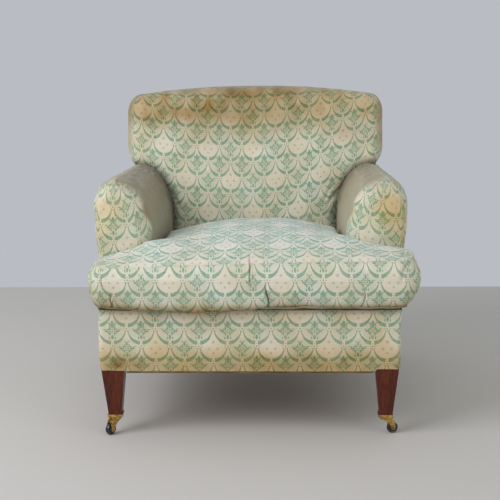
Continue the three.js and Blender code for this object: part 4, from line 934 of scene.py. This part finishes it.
def printed_ticking(tree):
    """Linen and cotton ticking, screen printed: a matt cream twill with fine slubs, sea green print that has
    thinned with wear, brown and yellow soiling, painted shade in seams, folds, nooks and on the left arm's
    inside, and a painted pale sky sheen on the cushion's top. The trellis of leaves is a traditional scale
    repeat, cell by cell a palmette or a sprigged medallion."""
    cloth = add(tree, "UVMap", uv_map="cloth")
    mark = {name: add(tree, "Attribute", attribute_name=name, out="Fac") for name in MARKS}
    wobble = add(tree, "TexNoise", cloth, None, 55.0, 2.0, out="Color")
    wobble = add(tree, "VectorMath SUBTRACT", wobble, (0.5, 0.5, 0.5))
    wobble = add(tree, "VectorMath SCALE", wobble, names={"Scale": 0.0030})
    loose = add(tree, "VectorMath ADD", cloth, wobble)

    reach = (CELL_WIDE / 2, CELL_TALL, 1.0)
    low = tuple(-r for r in reach)
    home = add(tree, "VectorMath WRAP", loose, reach, low)
    shifted = add(tree, "VectorMath SUBTRACT", loose, (CELL_WIDE / 2, CELL_TALL, 0.0))
    shifted = add(tree, "VectorMath WRAP", shifted, reach, low)
    lattice_a, small_bud, _, sprigs, tint_a = trellis_cell(tree, home)
    lattice_b, _, tall_bud, _, tint_b = trellis_cell(tree, shifted)

    # Every second home cell, staggered from row to row, is a medallion
    counted = add(tree, "VectorMath MULTIPLY", loose, (0.5 / CELL_WIDE, 0.5 / CELL_TALL, 0.0))
    counted = add(tree, "VectorMath ADD", counted, (0.25, 0.5, 0.0))
    column, row = [add(tree, "SeparateXYZ", counted, out=i) for i in (0, 1)]
    stagger = add(tree, "Math MULTIPLY_ADD", add(tree, "Math FLOOR", row), 0.5, column)
    medallion = add(tree, "Math LESS_THAN", add(tree, "Math FRACT", stagger), 0.5)
    plain = add(tree, "Math SUBTRACT", 1.0, medallion)
    palmette = add(tree, "Math MULTIPLY", small_bud, plain)
    sprigged = add(tree, "Math MULTIPLY", add(tree, "Math MULTIPLY", sprigs, medallion), 0.60)
    ink = lattice_a
    for more in (lattice_b, tall_bud, palmette, sprigged):
        ink = add(tree, "Math MAXIMUM", ink, more)
    tint = add(tree, "Math MAXIMUM", add(tree, "Math MULTIPLY", tint_a, plain), tint_b)

    slubs, wefts = [
        add(tree, "TexNoise", add(tree, "VectorMath MULTIPLY", cloth, stretch), None, 1.0, detail)
        for stretch, detail in (((900.0, 26.0, 1.0), 3.0), ((40.0, 1000.0, 1.0), 2.0))]
    cloudy = add(tree, "TexNoise", cloth, None, 16.0, 4.0)
    speckle = add(tree, "TexNoise", cloth, None, 260.0, 3.0)
    uneven = add(tree, "Math SUBTRACT", cloudy, 0.5)

    thinning = add(tree, "MapRange", cloudy, 0.35, 0.70, 0.80, 1.0)
    specks = add(tree, "MapRange", speckle, 0.34, 0.60, 0.62, 1.0)
    worn_edge = add(tree, "Math MULTIPLY_ADD", uneven, 0.9, mark["worn"])
    gone = add(tree, "MapRange", worn_edge, 0.25, 0.80, 1.0, 0.04)
    strength = add(tree, "Math MULTIPLY", add(tree, "Math MULTIPLY", thinning, specks), gone)
    # The last two shares paint a pale blue sky sheen on the cushion's top, over the ground and over the ink
    tint_share, ink_share, painted_sheen_share, painted_sheen_on_ink = [
        add(tree, "Math MULTIPLY", value, gain)
        for value, gain in ((add(tree, "Math MULTIPLY", tint, strength), 0.30),
                            (add(tree, "Math MULTIPLY", ink, strength), 0.92),
                            (mark["painted_sheen"], 0.75), (mark["painted_sheen"], 0.55))]

    # Sea green ink, speckled paler, then paled by the painted sky sheen on the cushion's top
    green = layered(tree, linear("#3f8f74"), (speckle, linear("#6bac90")), (painted_sheen_on_ink, linear("#8db4b2")))
    colour = layered(
        tree, linear("#e2dcc8"),
        (add(tree, "MapRange", cloudy, 0.3, 0.7, 0.0, 1.0), linear("#ece8d9")),
        (painted_sheen_share, linear("#d9e2e1")),
        (add(tree, "MapRange", worn_edge, 0.2, 0.85, 0.0, 0.9), linear("#b0ab8c")),
        (tint_share, linear("#a3c6ab")),
        (ink_share, green))
    patches = add(tree, "Math MULTIPLY", uneven, 0.8)
    # Tan and brown soiling, then painted shade in a dark brown, each multiplied into the colour by its mark
    for name, soil_and_shade_tone, gain in (("tan", "#ecd09c", 0.9), ("brown", "#b2955c", 0.95), ("shade", "#57503c", 0.9)):
        amount = add(tree, "Math MULTIPLY_ADD", patches, mark[name], mark[name])
        amount = add(tree, "Math MULTIPLY", amount, gain, use_clamp=True)
        colour = layered(tree, colour, (amount, linear(soil_and_shade_tone)), way="MULTIPLY")
    threads = add(tree, "Math ADD", slubs, wefts)
    thread_light = add(tree, "MapRange", threads, 0.7, 1.3, 0.88, 1.07)
    colour = add(tree, "VectorMath SCALE", colour, names={"Scale": thread_light})

    # Threads lie 0.5 mm apart, too fine to show, so the twill's ribs are drawn 1.6 mm apart
    ribs = add(tree, "TexWave", cloth, 390.0, 2.5, 2.0, bands_direction="DIAGONAL", out="Fac")
    height = add(tree, "Math MULTIPLY_ADD", threads, 0.6, ribs)
    bump = add(tree, "Bump", names={"Strength": 0.22, "Distance": 0.0006, "Height": height})
    rough = add(tree, "MapRange", slubs, 0.2, 0.8, 0.82, 0.95)
    return {"Base Color": colour, "Roughness": rough, "Normal": bump, "Specular IOR Level": 0.25,
            "Sheen Weight": 0.22, "Sheen Roughness": 0.5, "Sheen Tint": (0.80, 0.88, 1.0, 1.0)}


def polished_mahogany(tree):
    """Mahogany, french polished long ago: dark red brown, with fine straight pores along the leg and a worn
    shine."""
    place = add(tree, "TexCoord", out="Object")
    grain, figure = [
        add(tree, "TexNoise", add(tree, "VectorMath MULTIPLY", place, stretch), None, 1.0, detail)
        for stretch, detail in (((420.0, 420.0, 16.0), 4.0), ((45.0, 45.0, 5.0), 3.0))]
    wood = layered(tree, linear("#2c0b02"), (figure, linear("#7a2e0c")))
    pores = add(tree, "MapRange", grain, 0.42, 0.60, 0.55, 1.05)
    wood = add(tree, "VectorMath SCALE", wood, names={"Scale": pores})
    bump = add(tree, "Bump", names={"Strength": 0.15, "Distance": 0.0005, "Height": grain})
    rough = add(tree, "MapRange", figure, 0.3, 0.7, 0.24, 0.42)
    return {"Base Color": wood, "Roughness": rough, "Normal": bump, "Specular IOR Level": 0.35,
            "Coat Weight": 0.08, "Coat Roughness": 0.15}


def sawn_beech(tree):
    """Sawn hardwood, left bare inside the upholstery: pale brown with straight grain, dull with saw dust."""
    place = add(tree, "TexCoord", out="Object")
    grain_place = add(tree, "VectorMath MULTIPLY", place, (24.0, 260.0, 260.0))
    grain = add(tree, "TexNoise", grain_place, None, 1.0, 4.0)
    wood = layered(tree, linear("#8d683f"), (grain, linear("#b98f5f")))
    bump = add(tree, "Bump", names={"Strength": 0.25, "Distance": 0.0006, "Height": grain})
    return {"Base Color": wood, "Roughness": 0.72, "Normal": bump}


def worn_metal(tree, bright, dull, rough_low, rough_high, scale):
    """Cast brass, turned steel or wire with a hand-rubbed shine: bright where it is touched, dull and darker
    in patches."""
    place = add(tree, "TexCoord", out="Object")
    patches = add(tree, "TexNoise", place, None, scale, 4.0)
    tarnish = add(tree, "MapRange", patches, 0.40, 0.66, 0.0, 1.0)
    metal = layered(tree, linear(bright), (tarnish, linear(dull)))
    rough = add(tree, "MapRange", patches, 0.35, 0.65, rough_low, rough_high)
    bump = add(tree, "Bump", names={"Strength": 0.12, "Distance": 0.0003, "Height": patches})
    return {"Base Color": metal, "Metallic": 1.0, "Roughness": rough, "Normal": bump}


def glazed_wheel(tree):
    """Vitrified ceramic castor wheel: black glaze, glossy, scuffed paler on the tread."""
    place = add(tree, "TexCoord", out="Object")
    scuffs = add(tree, "TexNoise", place, None, 380.0, 4.0)
    wear = add(tree, "MapRange", scuffs, 0.55, 0.72, 0.0, 0.35)
    black = layered(tree, linear("#17120f"), (wear, linear("#6b6257")))
    rough = add(tree, "MapRange", scuffs, 0.4, 0.7, 0.16, 0.45)
    return {"Base Color": black, "Roughness": rough, "Coat Weight": 0.3}


def open_weave(tree, light, dark, pitch, strength=0.5):
    """Plain woven jute or cotton: threads over and under in both directions, from crossed waves."""
    place = add(tree, "TexCoord", out="Object")
    across, along, upright = [
        add(tree, "TexWave", place, 1 / pitch / 3.18, 1.2, 2.0, bands_direction=axis, out="Fac")
        for axis in "XYZ"]
    weave = add(tree, "Math ADD", add(tree, "Math MULTIPLY", across, along), upright)
    cloudy = add(tree, "TexNoise", place, None, 24.0, 3.0)
    share = add(tree, "Math MULTIPLY", weave, cloudy)
    bump = add(tree, "Bump", names={"Strength": strength, "Distance": 0.0010, "Height": weave})
    fibre = layered(tree, linear(dark), (share, linear(light)))
    return {"Base Color": fibre, "Roughness": 0.93, "Normal": bump}


def curled_hair(tree):
    """Curled horsehair stuffing: dark, springy strands that tangle, matt in the mass."""
    place = add(tree, "TexCoord", out="Object")
    curls = add(tree, "TexNoise", place, None, 320.0, 6.0, names={"Distortion": 2.5})
    bump = add(tree, "Bump", names={"Strength": 0.9, "Distance": 0.003, "Height": curls})
    hair = layered(tree, linear("#2a211a"), (curls, linear("#7c6650")))
    return {"Base Color": hair, "Roughness": 0.95, "Normal": bump}


def painted_floor(tree):
    """Plain pale studio floor, matt."""
    return {"Base Color": linear("#cbc7c0"), "Roughness": 0.85}


ticking = surface("printed cotton ticking", printed_ticking)
mahogany = surface("polished mahogany", polished_mahogany)
beech = surface("sawn beech", sawn_beech)
brass = surface("cast brass", worn_metal, "#ddb56a", "#8a6a35", 0.18, 0.42, 160.0)
axle_steel = surface("turned steel", worn_metal, "#9a9894", "#5e5a55", 0.30, 0.50, 220.0)
spring_wire = surface("coppered spring wire", worn_metal, "#8a7f74", "#54483e", 0.35, 0.60, 90.0)
webbing = surface("jute webbing", open_weave, "#c0a474", "#7d6440", 0.0030)
hessian = surface("hessian", open_weave, "#b39a6c", "#735d3a", 0.0022)
lining = surface("unbleached calico", open_weave, "#d6c9a9", "#b5a682", 0.0016, 0.25)
horsehair = surface("curled horsehair", curled_hair)
glaze = surface("black glazed ceramic", glazed_wheel)

for cover in [cushion, back, border, outside_back, *arms.values(), *outside_arms.values()]:
    cover.data.materials.append(ticking)
    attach(cover, "chair")

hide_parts("seat_cushion")
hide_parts("inside_back_cover", "back_pad")
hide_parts("front_border_cover")
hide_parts("outside_back_cover")
for side in SIDES:
    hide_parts(f"arm_cover_{side}", f"arm_pad_{side}")
    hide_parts(f"outside_arm_cover_{side}")


# Castor wheels: turned ceramic, with a rounded tread and a raised hub

WHEEL_RADIUS = 0.014
WHEEL_HALF = 0.0065
# Half the angle of the tread's round, in radians, and how far the tread falls to its edges
TREAD_TURN = 1.1
TREAD_FALL = 0.0022
UPWARDS = np.array([0.0, 0.0, 1.0])


def make_wheel(corner):
    """A profile of radius against width, turned about the axle. The axle's middle and direction are those of
    the castor's axle in the frame."""
    node = NODES[f"castor_axle_{corner}"]
    points = np.array([v.co for v in node.data.vertices])
    middle = (points.min(axis=0) + points.max(axis=0)) / 2
    spread = points - points.mean(axis=0)
    axle = np.linalg.svd(spread, full_matrices=False)[2][0]
    level = np.cross(axle, UPWARDS)
    profile = [(0.0024, -WHEEL_HALF), (0.0052, -WHEEL_HALF), (0.0060, -WHEEL_HALF + 0.0004),
               (0.0064, -WHEEL_HALF + 0.0014), (0.0102, -WHEEL_HALF + 0.0016), (0.0112, -WHEEL_HALF + 0.0006)]
    for t in np.linspace(-TREAD_TURN, TREAD_TURN, 13):
        fall = TREAD_FALL * (1 - math.cos(t)) / (1 - math.cos(TREAD_TURN))
        profile.append((WHEEL_RADIUS - fall, WHEEL_HALF * 0.93 * t / TREAD_TURN))
    profile += [(r, -w) for r, w in profile[5::-1]]
    radius, width = np.array(profile).T
    turn = np.linspace(0, 2 * np.pi, 49)[:, None, None]
    around = level * np.cos(turn) + UPWARDS * np.sin(turn)
    rings = middle + axle * width[None, :, None] + around * radius[None, :, None] - ORIGIN
    wheel = sew(f"castor_wheel_turned_{corner}", [Panel(rings, rings[..., :2])], face_outwards=True)
    wheel.data.materials.append(glaze)
    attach(wheel, f"castor_roller_{corner}")
    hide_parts(f"castor_wheel_{corner}")


for corner in ("front_left", "front_right", "rear_left", "rear_right"):
    make_wheel(corner)

FINISHES = {
    "front_leg": mahogany, "rear_post": mahogany, "castor_cup": brass, "castor_horn": brass,
    "castor_axle": axle_steel, "seat_webbing": webbing, "back_webbing": webbing, "seat_hessian": hessian,
    "dust_cover": hessian, "seat_deck_cover": lining, "seat_deck_pad": horsehair, "seat_spring": spring_wire,
}
for name, node in NODES.items():
    if node.hide_render:
        continue
    chosen = [finish for start, finish in FINISHES.items() if name.startswith(start)]
    node.data.materials.clear()
    node.data.materials.append(chosen[0] if chosen else beech)
    if name.startswith(("front_leg", "rear_post", "castor_cup", "castor_horn")):
        weld = node.modifiers.new("join the facets", "WELD")
        weld.merge_threshold = 0.00002
        bevel = node.modifiers.new("worn edges", "BEVEL")
        bevel.width = 0.0006 if name.startswith("castor") else 0.0016
        bevel.segments = 2
        bevel.limit_method = "ANGLE"
        bevel.angle_limit = math.radians(35)

# Floor, light and camera

FLOOR_BACK = 1.334
FLOOR_REACH = 6
floor_corners = [(x, y, 0) for y in (-FLOOR_REACH, FLOOR_BACK) for x in (-FLOOR_REACH, FLOOR_REACH)]
floor_mesh = bpy.data.meshes.new("floor")
floor_mesh.from_pydata(floor_corners, [], [(0, 1, 3, 2)])
floor_mesh.materials.append(surface("plain pale floor", painted_floor))
present("floor", floor_mesh)


def soft_box(name, place, target, size, power, colour):
    """A square area lamp at place that points at target."""
    lamp = bpy.data.lights.new(name, "AREA")
    lamp.size = size
    lamp.energy = power
    lamp.color = linear(colour)[:3]
    holder = present(name, lamp)
    holder.location = place
    holder.rotation_euler = (Vector(target) - Vector(place)).to_track_quat("-Z", "Y").to_euler()


soft_box("window", (-2.4, -1.9, 2.3), (0, 0, 0.45), 2.2, 78, "#f6f6ff")
soft_box("room", (2.6, -2.4, 1.6), (0, 0, 0.4), 2.4, 20, "#fff4e6")

studio = bpy.data.worlds.new("studio")
bpy.context.scene.world = studio
studio.use_nodes = True
sky = studio.node_tree
sky.nodes.clear()
sky_light = add(sky, "Background", linear("#e6ebf2"), 0.62)
backdrop = add(sky, "Background", linear("#b9bcc2"), 1.0)
rays = [add(sky, "LightPath", out=f"Is {kind} Ray") for kind in ("Camera", "Glossy")]
add(sky, "OutputWorld", add(sky, "MixShader", add(sky, "Math MAXIMUM", *rays), sky_light, backdrop))
bpy.context.scene.view_settings.view_transform = "Standard"

CAMERA_PLACE = (0.070, -2.951, 0.935)
CAMERA_LENS = 80.35
CAMERA_SENSOR = 36
CAMERA_DOWN = 10.41
CAMERA_TURN = 1.68
CAMERA_ROLL = -0.45
camera_data = bpy.data.cameras.new("camera")
camera_data.lens = CAMERA_LENS
camera_data.sensor_width = CAMERA_SENSOR
camera = present("camera", camera_data)
aim = Matrix()
for degrees, axis in ((CAMERA_TURN, "Z"), (90 - CAMERA_DOWN, "X"), (CAMERA_ROLL, "Z")):
    aim = aim @ Matrix.Rotation(math.radians(degrees), 4, axis)
camera.matrix_world = Matrix.Translation(CAMERA_PLACE) @ aim
bpy.context.scene.camera = camera
